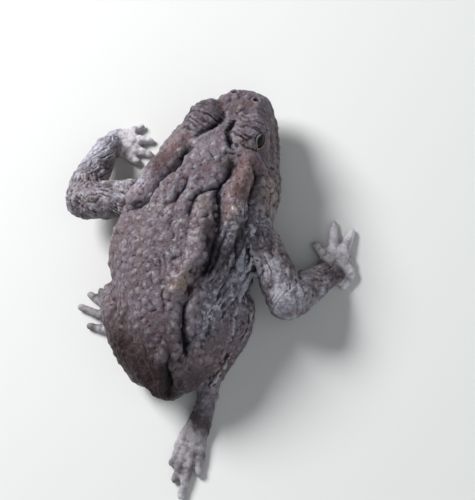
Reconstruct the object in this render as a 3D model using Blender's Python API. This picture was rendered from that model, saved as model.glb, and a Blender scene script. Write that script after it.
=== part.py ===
"""Common toad, life size, crawling low with its head turned a little to its right.

The trunk runs along Y with the snout towards +Y, the toad's right side is +X and the floor is Z = 0.
Places and sizes in the tables are millimetres. The body is drawn with its trunk near X = 0 and is
moved at the end, so that the origin lies on the floor under the middle of its box.
"""

import math
import random

import bmesh
import bpy
import numpy as np
from mathutils import Matrix, Vector
from mathutils.bvhtree import BVHTree

MM = 0.001

# Driving sizes, in millimetres
GAP = 0.35
FINE_GRAIN = 0.4
BODY_GRAIN = 0.55
EYE_RADIUS = 3.8
HEAD_BASE = (5.8, 21.6)
HEAD_TURN = math.radians(15)
EYE_PLACE = (10.3, 6.5, 17.7)
ORBIT_PLACE = (10.0, 6.2, 17.5)
ORBIT_SIZES = (6.2, 5.2, 5.4)
GLAND_HALF_WIDTH = 4.1
GLAND_HEIGHT = 1.9
LIP_HALF_WIDTH = 1.2
MOUTH_HALF_WIDTH = 0.9
MOUTH_DEPTH = 0.8
EARDRUM_RADIUS = 2.0
NOSTRIL_RADIUS = 1.1
WEB_THICKNESS = 0.8
WEB_SHARE = 0.5

# Trunk sections from the neck to the vent: x, y, height of the widest place, half width, rise, drop
TRUNK = [
    (6.4, 24.0, 11.5, 15.0, 12.0, 9.0),
    (6.6, 18.0, 12.0, 16.8, 13.0, 10.8),
    (5.2, 11.0, 12.5, 17.9, 14.4, 12.3),
    (3.4, 2.0, 12.5, 18.0, 15.2, 13.0),
    (2.8, -7.0, 12.2, 16.9, 15.0, 12.8),
    (2.6, -15.0, 11.6, 13.8, 13.6, 12.1),
    (2.9, -22.5, 10.6, 10.4, 11.6, 10.8),
    (3.4, -28.5, 9.8, 7.4, 8.6, 8.8),
    (3.8, -32.0, 9.2, 4.8, 5.6, 6.0),
]

# Head sections from behind the jaws to the snout: forward, widest height, half width, rise, drop
HEAD = [
    (-6.0, 11.2, 15.0, 12.4, 9.2),
    (0.0, 10.6, 15.9, 12.2, 7.9),
    (5.5, 10.1, 14.9, 11.5, 6.8),
    (10.5, 9.9, 12.8, 10.5, 5.9),
    (14.8, 10.0, 10.6, 9.2, 5.1),
    (18.2, 10.2, 8.6, 7.9, 4.4),
    (20.8, 10.4, 6.3, 6.6, 3.7),
]

# Limb sections: x, y, z, radius, and for palms and soles x, y, z, half width, half thickness
LIMBS = {
    "right": {
        "upper_arm": [
            (9, 11, 14, 4.8), (16, 9, 14, 5.4), (21.5, 4.0, 13.6, 5.1), (26.4, -2.2, 12.8, 4.8),
            (30.0, -7.8, 11.0, 5.3),
        ],
        "forearm": [
            (30.2, -8.0, 10.4, 5.3), (32.4, -5.0, 8.2, 4.9), (34.6, -2.2, 5.8, 4.0), (36.2, 0.4, 4.0, 3.0),
        ],
        "palm": [
            (35.8, -0.4, 3.6, 3.2, 2.6), (37.6, 2.6, 2.3, 4.1, 2.3), (38.4, 5.4, 1.7, 4.2, 1.8),
            (38.6, 7.8, 1.3, 3.4, 1.4),
        ],
        "fingers": [
            [(37.0, 4.8, 1.8, 1.7), (34.8, 6.9, 1.4, 1.3), (32.4, 9.2, 0.95, 1.15)],
            [(37.2, 6.8, 1.8, 1.7), (36.6, 11.0, 1.4, 1.3), (36.0, 15.4, 0.95, 1.15)],
            [(39.4, 7.0, 1.8, 1.7), (40.2, 10.6, 1.4, 1.35), (41.0, 13.9, 0.95, 1.15)],
            [(40.2, 5.2, 1.8, 1.7), (42.4, 2.8, 1.4, 1.3), (41.2, -0.4, 0.95, 1.15)],
        ],
        "thigh": [
            (7.6, -29.4, 10.6, 5.4), (9.8, -24.6, 11.3, 6.4), (11.4, -18.4, 11.3, 6.5),
            (15.6, -11.8, 10.0, 4.8),
        ],
        "shank": [
            (17.4, -11.0, 6.0, 4.0), (16.8, -16.0, 4.4, 4.1), (14.4, -22.4, 3.9, 3.9),
            (12.6, -28.0, 3.4, 3.3), (12.2, -31.0, 3.2, 2.9),
        ],
        "sole": [
            (12.4, -30.4, 3.0, 2.7, 2.6), (12.2, -36.0, 2.2, 2.5, 2.2), (11.4, -41.0, 1.6, 3.3, 1.7),
            (10.8, -44.0, 1.3, 3.4, 1.4),
        ],
        "toes": [
            [(9.6, -40.6, 1.5, 1.4), (7.8, -43.4, 1.2, 1.15), (6.8, -46.2, 0.85, 1.0)],
            [(9.6, -42.2, 1.5, 1.4), (7.8, -46.4, 1.2, 1.15), (6.4, -50.6, 0.85, 1.0)],
            [(10.4, -43.2, 1.5, 1.4), (9.0, -49.0, 1.2, 1.15), (8.0, -54.4, 0.85, 1.0)],
            [(11.4, -43.4, 1.5, 1.5), (11.0, -50.6, 1.2, 1.2), (10.4, -58.0, 0.85, 1.0)],
            [(12.6, -42.4, 1.5, 1.4), (13.4, -47.2, 1.2, 1.15), (13.8, -52.0, 0.85, 1.0)],
        ],
    },
    "left": {
        "upper_arm": [
            (-1, 13.4, 14, 4.8), (-8, 13, 14, 5.3), (-15.5, 12, 13.2, 4.9), (-22, 11.4, 12.0, 4.9),
            (-27.6, 11.4, 10.4, 5.1),
        ],
        "forearm": [
            (-28.2, 11.8, 10.0, 5.1), (-28.4, 17, 8.8, 4.8), (-28.0, 23.2, 6.8, 4.0), (-27.6, 28.6, 4.6, 3.2),
        ],
        "palm": [
            (-27.8, 27.8, 3.8, 3.2, 2.8), (-26.6, 30.4, 2.4, 4.0, 2.4), (-24.2, 31.6, 1.7, 4.0, 1.8),
            (-22.4, 31.8, 1.3, 3.2, 1.4),
        ],
        "fingers": [
            [(-25.0, 29.8, 1.8, 1.7), (-22.4, 27.8, 1.4, 1.3), (-19.8, 26.4, 0.95, 1.15)],
            [(-23.4, 30.8, 1.8, 1.7), (-19.9, 29.7, 1.4, 1.3), (-16.6, 29.0, 0.95, 1.15)],
            [(-23.2, 32.2, 1.8, 1.7), (-20.0, 32.8, 1.4, 1.35), (-17.2, 32.8, 0.95, 1.15)],
            [(-24.6, 33.0, 1.8, 1.7), (-22.8, 35.2, 1.4, 1.3), (-20.6, 36.6, 0.95, 1.15)],
        ],
        "thigh": [
            (1.0, -29.8, 10.6, 5.4), (-3.0, -25.4, 11.4, 6.6), (-7.2, -19.8, 11.8, 6.9),
            (-12.0, -13.8, 11.2, 5.3),
        ],
        "shank": [
            (-13.0, -13.8, 8.0, 4.2), (-11.8, -20.0, 7.4, 4.3), (-8.2, -26.0, 6.6, 3.8),
            (-5.4, -30.2, 5.4, 3.0),
        ],
        "sole": [
            (-4.4, -31.0, 3.0, 2.6, 2.5), (-8.6, -25.6, 2.1, 2.6, 2.1), (-12.2, -20.6, 1.6, 3.2, 1.7),
            (-14.4, -17.8, 1.3, 3.3, 1.4),
        ],
        "toes": [
            [(-12.2, -18.4, 1.5, 1.4), (-14.6, -14.8, 1.2, 1.15), (-17.6, -11.6, 0.85, 1.0)],
            [(-13.6, -17.2, 1.5, 1.4), (-17.4, -13.2, 1.2, 1.15), (-21.8, -9.8, 0.85, 1.0)],
            [(-14.4, -17.0, 1.5, 1.4), (-19.2, -14.0, 1.2, 1.15), (-24.6, -11.2, 0.85, 1.0)],
            [(-14.6, -18.0, 1.5, 1.5), (-20.2, -16.4, 1.2, 1.2), (-26.4, -14.8, 0.85, 1.0)],
            [(-14.0, -19.4, 1.5, 1.4), (-18.4, -19.8, 1.2, 1.15), (-22.8, -19.4, 0.85, 1.0)],
        ],
    },
}

# Creases of the loose back skin, as x, y on the back from above, with their half width and depth
CREASES = [
    ([(13.6, 3.0), (12.2, -4.2), (8.6, -11.2), (7.2, -18.1), (8.0, -24.5)], 2.0, 1.5),
    ([(13.2, 20.5), (12.6, 15.0), (11.6, 8.0), (9.4, 2.5)], 1.8, 1.0),
    ([(2.6, 22.5), (-1.6, 17.0), (-5.0, 10.0)], 1.6, 0.9),
    ([(5.0, -26.0), (4.4, -30.0), (4.2, -33.5)], 1.4, 0.8),
    ([(-9.6, 7.0), (-12.2, 0.0), (-12.6, -8.0)], 1.4, 0.8),
]

# Triangles kept in the trunk with the head, and in the pieces of each limb
TRIANGLES = {"body": 6900, "arm": 1400, "thigh": 460, "shank": 420, "foot": 1000}

COLOURS = {
    "back": ((0.13, 0.11, 0.10), 0.75),
    "limb": ((0.20, 0.19, 0.17), 0.7),
    "eye": ((0.03, 0.02, 0.015), 0.15),
}


def clear_scene():
    for old in list(bpy.data.objects):
        bpy.data.objects.remove(old)


def material(name):
    colour, roughness = COLOURS[name]
    made = bpy.data.materials.new(name)
    made.use_nodes = True
    shader = made.node_tree.nodes["Principled BSDF"]
    shader.inputs["Base Color"].default_value = (*colour, 1)
    shader.inputs["Roughness"].default_value = roughness
    made.diffuse_color = (*colour, 1)
    return made


def new_object(name, mesh):
    made = bpy.data.objects.new(name, mesh)
    bpy.context.scene.collection.objects.link(made)
    return made


def baked(obj):
    """The object with its modifiers turned into plain mesh."""
    bpy.context.view_layer.update()
    graph = bpy.context.evaluated_depsgraph_get()
    mesh = bpy.data.meshes.new_from_object(obj.evaluated_get(graph))
    obj.modifiers.clear()
    obj.data = mesh
    return obj


def smooth_rows(rows, steps=5):
    """Rows of numbers with more rows between them, on a Catmull-Rom curve through each column."""
    table = np.array(rows, float)
    padded = np.vstack([2 * table[0] - table[1], table, 2 * table[-1] - table[-2]])
    made = []
    for i in range(1, len(table)):
        a, b, c, d = padded[i - 1 : i + 3]
        for t in np.arange(steps) / steps:
            bend = (2 * a - 5 * b + 4 * c - d) * t**2 + (3 * b - a - 3 * c + d) * t**3
            made.append(0.5 * (2 * b + (c - a) * t + bend))
    return np.array(made + [table[-1]])


def loft(name, rows, sides=24, square=2.0, blunt=1.0):
    """A closed form through sections of x, y, z, half width, rise and drop; caps are flat at blunt 0."""
    rows = smooth_rows(rows)
    centres = rows[:, :3]
    along = np.gradient(centres, axis=0)
    along /= np.linalg.norm(along, axis=1, keepdims=True)
    stations = []
    cap_angles = [math.radians(a) for a in (75, 50, 25)]
    for end, sign, order in ((0, -1, cap_angles), (-1, 1, cap_angles[::-1])):
        depth = min(rows[end, 3], rows[end, 4]) * blunt
        cap = [
            (centres[end] + along[end] * sign * depth * math.sin(a), along[end], rows[end, 3:] * math.cos(a))
            for a in order
        ]
        stations.append(cap)
    body = [(c, a, r) for c, a, r in zip(centres, along, rows[:, 3:])]
    sections = stations[0] + body + stations[1]
    angles = np.arange(sides) / sides * 2 * math.pi
    wide = np.sign(np.cos(angles)) * np.abs(np.cos(angles)) ** (2 / square)
    high = np.sign(np.sin(angles)) * np.abs(np.sin(angles)) ** (2 / square)
    made = bmesh.new()
    rings = []
    for centre, forward, (half_width, rise, drop) in sections:
        across = np.cross(forward, (0, 0, 1))
        across /= np.linalg.norm(across)
        up = np.cross(across, forward)
        lift = np.where(high > 0, rise, drop) * high
        points = centre + np.outer(wide * half_width, across) + np.outer(lift, up)
        rings.append([made.verts.new(Vector(p) * MM) for p in points])
    for a, b in zip(rings, rings[1:]):
        for i in range(sides):
            j = (i + 1) % sides
            made.faces.new((a[i], a[j], b[j], b[i]))
    made.faces.new(rings[0][::-1])
    made.faces.new(rings[-1])
    bmesh.ops.recalc_face_normals(made, faces=made.faces)
    mesh = bpy.data.meshes.new(name)
    made.to_mesh(mesh)
    made.free()
    return new_object(name, mesh)


def tube(name, rows, sides=16):
    """A loft of round sections: x, y, z, radius."""
    return loft(name, [(x, y, z, r, r, r) for x, y, z, r in rows], sides)


def pad(name, rows):
    """A loft of flat sections: x, y, z, half width, half thickness."""
    return loft(name, [(x, y, z, w, t, t) for x, y, z, w, t in rows], 20)


def ball(name, centre, sizes, detail=24):
    """A ball, or an oval one that lies along the head, with its three half sizes forward, aside and up."""
    mesh = bpy.data.meshes.new(name)
    made = bmesh.new()
    bmesh.ops.create_uvsphere(made, u_segments=detail, v_segments=detail // 2, radius=MM)
    bmesh.ops.scale(made, verts=made.verts, vec=sizes)
    turn = Matrix.Rotation(math.radians(90) - HEAD_TURN, 3, "Z")
    bmesh.ops.rotate(made, verts=made.verts, matrix=turn)
    bmesh.ops.translate(made, verts=made.verts, vec=Vector(centre) * MM)
    made.to_mesh(mesh)
    made.free()
    return new_object(name, mesh)


def web(name, toe, neighbour):
    """A thin sheet between two toes, hollowed at its free edge, as a closed prism."""
    a, b = smooth_rows(toe, 4)[:, :3], smooth_rows(neighbour, 4)[:, :3]
    reach = round(WEB_SHARE * (len(a) - 1))
    hollow = (a[reach // 2] + b[reach // 2] + a[reach] + b[reach]) / 4
    outline = [*a[: reach + 1], hollow, *b[: reach + 1][::-1]]
    made = bmesh.new()
    lift = Vector((0, 0, WEB_THICKNESS / 2))
    top = [made.verts.new((Vector(p) + lift) * MM) for p in outline]
    bottom = [made.verts.new((Vector(p) - lift) * MM) for p in outline]
    made.faces.new(top)
    made.faces.new(bottom[::-1])
    for i in range(len(outline)):
        j = (i + 1) % len(outline)
        made.faces.new((top[j], top[i], bottom[i], bottom[j]))
    bmesh.ops.triangulate(made, faces=made.faces)
    bmesh.ops.recalc_face_normals(made, faces=made.faces)
    mesh = bpy.data.meshes.new(name)
    made.to_mesh(mesh)
    made.free()
    return new_object(name, mesh)


def join(first, others, operation="UNION"):
    """One Boolean on a collection of closed pieces, which are removed afterwards."""
    group = bpy.data.collections.new("pieces")
    bpy.context.scene.collection.children.link(group)
    for other in others:
        group.objects.link(other)
    step = first.modifiers.new("join", "BOOLEAN")
    step.operation = operation
    step.operand_type = "COLLECTION"
    step.collection = group
    step.solver = "MANIFOLD"
    baked(first)
    for other in others:
        bpy.data.objects.remove(other)
    bpy.data.collections.remove(group)
    return first


def grained(obj, grain, rounds):
    """The form as an even mesh of one grain size, softened where its pieces meet."""
    remesh = obj.modifiers.new("grain", "REMESH")
    remesh.mode = "VOXEL"
    remesh.voxel_size = grain * MM
    soften = obj.modifiers.new("soften", "SMOOTH")
    soften.iterations = rounds
    return baked(obj)


def points_of(obj):
    points = np.empty(len(obj.data.vertices) * 3)
    obj.data.vertices.foreach_get("co", points)
    return points.reshape(-1, 3) / MM


def move_points(obj, points):
    obj.data.vertices.foreach_set("co", (points * MM).ravel())
    obj.data.update()


def normals_of(obj):
    normals = np.empty(len(obj.data.vertices) * 3)
    obj.data.vertex_normals.foreach_get("vector", normals)
    return normals.reshape(-1, 3)


def distance_to(points, path):
    """Distance of each point from a path of straight stretches."""
    path = np.array(path, float)
    best = np.linalg.norm(points - path[0], axis=1)
    for a, b in zip(path, path[1:]):
        along = b - a
        share = np.clip((points - a) @ along / (along @ along), 0, 1)
        best = np.minimum(best, np.linalg.norm(points - a - np.outer(share, along), axis=1))
    return best


def share_to(points, path):
    """Distance from a path of places each with its own half width, in half widths."""
    path = np.array(path, float)
    best = np.full(len(points), np.inf)
    for a, b in zip(path, path[1:]):
        along = b[:3] - a[:3]
        share = np.clip((points - a[:3]) @ along / (along @ along), 0, 1)
        distance = np.linalg.norm(points - a[:3] - np.outer(share, along), axis=1)
        best = np.minimum(best, distance / (a[3] + share * (b[3] - a[3])))
    return best


def swell(distance, reach, fullness=2):
    """1 on a path and 0 at its reach, flatter on top where the fullness is high."""
    return np.clip(1 - (distance / reach) ** fullness, 0, 1) ** 1.5


def dropped(obj, places):
    """Points of the surface under places given as x, y."""
    tree = BVHTree.FromObject(obj, bpy.context.evaluated_depsgraph_get())
    found = []
    for x, y in places:
        hit = tree.ray_cast(Vector((x, y, 60)) * MM, Vector((0, 0, -1)))[0]
        found.append(np.array(hit) / MM)
    return found


def in_head(forward, aside, height):
    """A place of the head, given from its base along its own turned axis."""
    c, s = math.cos(HEAD_TURN), math.sin(HEAD_TURN)
    return (HEAD_BASE[0] + aside * c + forward * s, HEAD_BASE[1] - aside * s + forward * c, height)


def head_section(forward):
    """Widest height, half width, rise and drop of the head at a distance from its base."""
    table = np.array(HEAD)
    return [np.interp(forward, table[:, 0], table[:, k]) for k in range(1, 5)]


def mouth_path():
    """The line of the mouth, from the right corner round the snout to the left corner."""
    half = []
    for forward in np.linspace(0.5, 20.4, 11):
        height, half_width = head_section(forward)[:2]
        half.append((forward, half_width, height - 1.6 + 0.03 * forward))
    half += [(22.0, 4.8, 9.6), (23.2, 1.7, 9.7)]
    return [in_head(f, a, h) for f, a, h in half] + [in_head(f, -a, h) for f, a, h in half[::-1]]


def body_form():
    """Head and torso in one piece, with the orbits standing out of the head."""
    trunk = loft("body_form", TRUNK, 36, 2.25)
    head = loft("head_form", [(*in_head(f, 0, h), w, r, d) for f, h, w, r, d in HEAD], 36, 2.25, 0.5)
    forward, aside, height = ORBIT_PLACE
    orbits = [
        ball(f"orbit_{side}", in_head(forward, sign * aside, height), ORBIT_SIZES)
        for side, sign in (("right", 1), ("left", -1))
    ]
    return grained(join(trunk, [head, *orbits]), BODY_GRAIN, 12)


def gland_paths(body):
    """The parotoid glands, from behind each eye back over the shoulders, fullest in the middle."""
    right = [(18.0, 22.6), (18.5, 17.6), (18.3, 12.6), (17.2, 7.6)]
    left = [(-2.0, 25.4), (-5.6, 21.0), (-8.4, 16.4), (-10.4, 11.4)]
    girth = GLAND_HALF_WIDTH * np.array([0.62, 1.0, 1.0, 0.66])
    return [smooth_rows(np.column_stack([dropped(body, side), girth])) for side in (right, left)]


def wart_places(body, count, spacing, seed, keep):
    """Surface points at least a spacing apart, drawn from the places that keep lets through."""
    draw = random.Random(seed)
    points, normals = points_of(body), normals_of(body)
    allowed = [i for i in range(len(points)) if keep(points[i], normals[i])]
    draw.shuffle(allowed)
    chosen = []
    for i in allowed:
        if len(chosen) == count:
            break
        if all(np.linalg.norm(points[i] - p) > spacing for p in chosen):
            chosen.append(points[i])
    return chosen, draw


def add_warts(body, count, spacing, sizes, seed, keep):
    """Low round warts raised in the surface, in sizes varied between the two given radii."""
    places, draw = wart_places(body, count, spacing, seed, keep)
    points, normals = points_of(body), normals_of(body)
    lift = np.zeros(len(points))
    for place in places:
        radius = draw.uniform(*sizes)
        lift = np.maximum(lift, 0.36 * radius * swell(np.linalg.norm(points - place, axis=1), radius, 2.5))
    move_points(body, points + normals * lift[:, None])


def shape_body(body):
    """Glands, creases, brows, mouth, nostrils and warts of the head and torso."""
    points, normals = points_of(body), normals_of(body)
    lift = np.zeros(len(points))
    glands = gland_paths(body)
    for path in glands:
        lift += GLAND_HEIGHT * swell(share_to(points, path), 1, 2.4)
    for path, half_width, depth in CREASES:
        lift -= depth * swell(distance_to(points, smooth_rows(dropped(body, path))), half_width)
    mouth = mouth_path()
    lip = [(x, y, z + 1.1) for x, y, z in mouth]
    lift += 0.35 * swell(distance_to(points, lip), LIP_HALF_WIDTH)
    lift -= MOUTH_DEPTH * swell(distance_to(points, mouth), MOUTH_HALF_WIDTH)
    for side in (1, -1):
        canthus = [in_head(14.2, side * 6.4, 18.4), in_head(17.8, side * 4.6, 16.8)]
        lift += 0.5 * swell(distance_to(points, canthus), 1.8)
        eardrum = [in_head(2.6, side * 13.6, 15.2)]
        lift += 0.5 * swell(distance_to(points, eardrum), EARDRUM_RADIUS, 4)
        nostril = [in_head(20.4, side * 3.0, 16.2)]
        lift -= swell(distance_to(points, nostril), NOSTRIL_RADIUS)
    move_points(body, points + normals * lift[:, None])
    gland_line = np.vstack(glands)[:, :3]

    def on_back(point, normal):
        return normal[2] > -0.1 and point[1] < 19 and distance_to(point[None], gland_line)[0] > 5

    add_warts(body, 105, 3.8, (1.2, 2.1), 7, on_back)


def settle(obj):
    """Nothing of the form lies below the floor, so it stands on small flats at Z = 0."""
    points = points_of(obj)
    points[:, 2] = np.maximum(points[:, 2], 0)
    move_points(obj, points)


def thinned(obj, triangles):
    """The form with about this many triangles, most of them where it curves."""
    whole = sum(len(p.vertices) - 2 for p in obj.data.polygons)
    thin = obj.modifiers.new("thin", "DECIMATE")
    thin.ratio = min(1.0, triangles / whole)
    thin.use_collapse_triangulate = True
    return baked(obj)


def grown(obj, by):
    """A copy whose surface lies this far outside the form, to cut clearance for what touches it."""
    copy = new_object(obj.name + "_grown", obj.data.copy())
    points, normals = points_of(copy), normals_of(copy)
    move_points(copy, points + normals * by)
    return copy


def cut_clear(obj, neighbours):
    """Takes away what would touch the neighbours, and leaves the gap between the faces."""
    return join(obj, [grown(n, GAP) for n in neighbours], "DIFFERENCE")


def largest_only(obj):
    """Keeps the largest closed surface of the mesh."""
    made = bmesh.new()
    made.from_mesh(obj.data)
    left, groups = set(made.verts), []
    while left:
        group, front = set(), [left.pop()]
        while front:
            vert = front.pop()
            group.add(vert)
            for edge in vert.link_edges:
                other = edge.other_vert(vert)
                if other in left:
                    left.remove(other)
                    front.append(other)
        groups.append(group)
    keep = max(groups, key=len)
    bmesh.ops.delete(made, geom=[v for v in made.verts if v not in keep], context="VERTS")
    made.to_mesh(obj.data)
    made.free()
    return obj


def parted(obj, name, rest_name, place, direction):
    """Two objects from one, either side of a thin flat cut; the first lies behind the cut."""
    direction = Vector(direction).normalized()
    result = []
    for new_name, sign in ((name, 1), (rest_name, -1)):
        made = bmesh.new()
        made.from_mesh(obj.data)
        edge = Vector(place) - direction * sign * GAP / 2
        cut = bmesh.ops.bisect_plane(
            made, geom=made.verts[:] + made.edges[:] + made.faces[:],
            plane_co=edge * MM, plane_no=direction * sign, clear_outer=True, dist=1e-7,
        )
        rim = [g for g in cut["geom_cut"] if isinstance(g, bmesh.types.BMEdge)]
        bmesh.ops.holes_fill(made, edges=rim, sides=0)
        bmesh.ops.triangulate(made, faces=[f for f in made.faces if len(f.verts) > 4])
        mesh = bpy.data.meshes.new(new_name)
        made.to_mesh(mesh)
        made.free()
        result.append(largest_only(new_object(new_name, mesh)))
    bpy.data.objects.remove(obj)
    return result


def finish(obj, slot):
    obj.data.materials.clear()
    obj.data.materials.append(slot)
    obj.data.shade_smooth()
    return obj


def eyes_and_sockets(head):
    """The eyeballs, and the head opened round them between an upper and a lower lid."""
    forward, aside, height = EYE_PLACE
    cutters, eyes = [], []
    for side, sign in (("right", 1), ("left", -1)):
        centre = in_head(forward, sign * aside, height)
        socket = EYE_RADIUS + GAP
        cutters.append(ball(f"socket_{side}", centre, (socket, socket, socket), 20))
        opening = in_head(forward + 0.4, sign * (aside + 4.2), height + 0.1)
        cutters.append(ball(f"slit_{side}", opening, (3.3, 4.2, 2.0), 16))
        eyes.append(ball(f"eye_{side}", centre, (EYE_RADIUS, EYE_RADIUS, EYE_RADIUS), 18))
    join(head, cutters, "DIFFERENCE")
    return eyes


def arm(side, body):
    """Upper arm, forearm and hand of one side, parted at the elbow and the wrist."""
    rows = LIMBS[side]
    pieces = [tube("forearm_form", rows["forearm"], 20), pad("palm_form", rows["palm"])]
    pieces += [tube(f"finger_{i}", finger) for i, finger in enumerate(rows["fingers"])]
    whole = grained(join(tube(f"arm_{side}", rows["upper_arm"], 20), pieces), FINE_GRAIN, 4)
    settle(whole)
    seed = 11 if side == "right" else 12
    add_warts(whole, 34, 2.6, (0.8, 1.2), seed, lambda p, n: n[2] > 0 and p[2] > 5)
    thinned(whole, TRIANGLES["arm"])
    cut_clear(whole, [body])
    largest_only(whole)
    elbow, wrist = rows["forearm"][0][:3], rows["palm"][0][:3]
    shoulder, palm = Vector(rows["upper_arm"][-2][:3]), Vector(rows["palm"][1][:3])
    fold = (Vector(elbow) - shoulder).normalized() + (Vector(wrist) - Vector(elbow)).normalized()
    upper, rest = parted(whole, f"upper_arm_{side}", f"lower_{side}", elbow, fold)
    bend = (Vector(wrist) - Vector(elbow)).normalized() + (palm - Vector(wrist)).normalized()
    return [upper, *parted(rest, f"forearm_{side}", f"hand_{side}", wrist, bend)]


def leg(side, body):
    """Thigh, shank and foot of one side, pressed together and each cut clear of those above it."""
    rows = LIMBS[side]
    seed = 21 if side == "right" else 31
    done = [body]
    for name, count in (("thigh", 26), ("shank", 18)):
        made = grained(tube(f"{name}_{side}", rows[name], 20), FINE_GRAIN, 3)
        settle(made)
        seed += 1
        add_warts(made, count, 2.8, (0.8, 1.3), seed, lambda p, n: n[2] > 0)
        thinned(made, TRIANGLES[name])
        done.append(made)
    foot = pad(f"foot_{side}", rows["sole"])
    toes = [tube(f"toe_{i}", toe) for i, toe in enumerate(rows["toes"])]
    webs = [web(f"web_{i}", a, b) for i, (a, b) in enumerate(zip(rows["toes"], rows["toes"][1:]))]
    grained(join(foot, toes + webs), FINE_GRAIN * 0.9, 2)
    settle(foot)
    thinned(foot, TRIANGLES["foot"])
    done.append(foot)
    for i in (3, 2, 1):
        cut_clear(done[i], done[:i])
        largest_only(done[i])
    return done[1:]


def centre_on_floor(nodes):
    """Moves the toad so that the origin lies on the floor under the middle of its box."""
    corners = np.vstack([points_of(n) for n in nodes])
    middle = (corners.min(0) + corners.max(0)) / 2
    for node in nodes:
        move_points(node, points_of(node) - (middle[0], middle[1], 0))


def main():
    clear_scene()
    body = body_form()
    shape_body(body)
    settle(body)
    thinned(body, TRIANGLES["body"])
    limbs = []
    for side in ("right", "left"):
        limbs += arm(side, body)
        limbs += leg(side, body)
    neck = in_head(-2.0, 0, 12)
    forward = Vector(in_head(1, 0, 0)) - Vector(in_head(0, 0, 0))
    torso, head = parted(body, "torso", "head", neck, forward)
    eyes = eyes_and_sockets(head)
    largest_only(head)
    slots = {name: material(name) for name in COLOURS}
    for node in (torso, head):
        finish(node, slots["back"])
    for node in limbs:
        finish(node, slots["limb"])
    for node in eyes:
        finish(node, slots["eye"])
    centre_on_floor([torso, head, *limbs, *eyes])


main()
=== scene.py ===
"""A life-size common toad: one skin over the whole animal, and its two eyes.

Tables are in millimetres. They are drawn with the trunk near X = 0 and the snout towards +Y, and the
finished pieces are moved to where the solid eyes stand, so that they lie on the solids.
"""

import itertools
import math

import bmesh
import bpy
import numpy as np
from bpy.props import FloatProperty, FloatVectorProperty, IntProperty, PointerProperty
from mathutils import Matrix, Vector
from mathutils.bvhtree import BVHTree
from mathutils.kdtree import KDTree


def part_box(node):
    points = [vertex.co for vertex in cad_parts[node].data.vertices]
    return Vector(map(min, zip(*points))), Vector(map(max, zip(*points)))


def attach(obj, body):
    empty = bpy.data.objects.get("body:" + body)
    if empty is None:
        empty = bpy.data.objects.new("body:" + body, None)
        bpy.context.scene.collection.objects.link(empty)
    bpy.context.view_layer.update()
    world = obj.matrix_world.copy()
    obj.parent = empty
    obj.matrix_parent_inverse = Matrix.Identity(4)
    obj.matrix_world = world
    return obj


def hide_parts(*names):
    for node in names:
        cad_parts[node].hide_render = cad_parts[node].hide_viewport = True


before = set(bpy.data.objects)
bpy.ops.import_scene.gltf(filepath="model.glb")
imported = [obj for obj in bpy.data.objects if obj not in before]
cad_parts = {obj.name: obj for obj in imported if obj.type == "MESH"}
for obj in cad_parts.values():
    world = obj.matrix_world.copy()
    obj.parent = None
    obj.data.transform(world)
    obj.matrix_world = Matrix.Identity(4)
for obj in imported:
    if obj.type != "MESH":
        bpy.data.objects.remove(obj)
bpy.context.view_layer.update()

bl_info = {
    "name": "Common toad",
    "version": (1, 0, 0),
    "blender": (4, 5, 0),
    "location": "View3D > Sidebar > Toad",
    "description": "Makes a life-size common toad with its skin, its eyes and a studio",
    "category": "Add Mesh",
}

MM = 0.001

# The base of the head and its turn to the toad's right. Places of the head are forward, aside and height.
HEAD_BASE = (5.8, 21.6)
HEAD_TURN = math.radians(15)

# The eyeball: radius, middle, tilt of its way out, and how many degrees its opening spreads to either side,
# up and down. The orbit is the oval rise of the head round it: middle and half sizes.
EYE_RADIUS = 3.8
EYE_PLACE = (10.3, 6.5, 17.7)
EYE_TILT = math.radians(16)
EYE_OPENING = (37, 43, 12)
ORBIT_PLACE = (10.0, 6.2, 17.5)
ORBIT_SIZES = (6.2, 5.2, 5.4)

WEB_THICKNESS = 0.8
WEB_SHARE = 0.5

# How square the sections of trunk and head are, where 2 is an ellipse, and how many points each has
SQUARENESS = 2.25
TRUNK_SIDES = 48

# Turns of the rings that round off the end of a form
CAP_TURNS = [math.radians(turn) for turn in (75, 50, 25)]

# Rough radii of trunk and arm, which turn an angle round them into millimetres
TRUNK_RADIUS = 15
ARM_RADIUS = 5

# Heights of a wrinkle between which its groove goes from clear to full painted shade
GROOVE = (-0.25, -0.75)

# How far above the floor the skin ends, in millimetres
FLOOR_GAP = 0.02

# Odd multipliers that scatter the cells of the noise
SCATTER = np.array([73856093, 19349663, 83492791])
SCATTER_AGAIN = 2654435761
SEED_STEP = 17.37

# The camera stands behind the toad's right side: how far round from straight behind, how far up, the turn
# of the picture's top to the left of the trunk, and the height in metres that it looks at
CAMERA_ROUND, CAMERA_UP, CAMERA_TURN = (math.radians(turn) for turn in (52, 66, 12))
CAMERA_AIM = 0.012

# Width of the sensor in millimetres, the picture's longer side in picture elements, and how many of these
# its middle lies right of the toad's middle and above it
SENSOR_WIDTH = 36
PICTURE_SIDE = 500
PICTURE_SHIFT = (61.5, 2.0)

# Trunk sections from the neck to the vent: x, y, height of the widest place, half width, rise, drop
TRUNK = [
    (6.4, 24, 11.5, 15, 12, 9),
    (6.6, 18, 12, 16.8, 13, 10.8),
    (5.2, 11, 12.5, 17.9, 14.4, 12.3),
    (3.4, 2, 12.5, 18, 15.2, 13),
    (2.8, -7, 12.2, 16.9, 15, 12.8),
    (2.6, -15, 11.6, 13.8, 13.6, 12.1),
    (2.9, -22.5, 10.6, 10.4, 11.6, 10.8),
    (3.4, -28.5, 9.8, 7.4, 8.6, 8.8),
    (3.8, -32, 9.2, 4.8, 5.6, 6),
]

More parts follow.
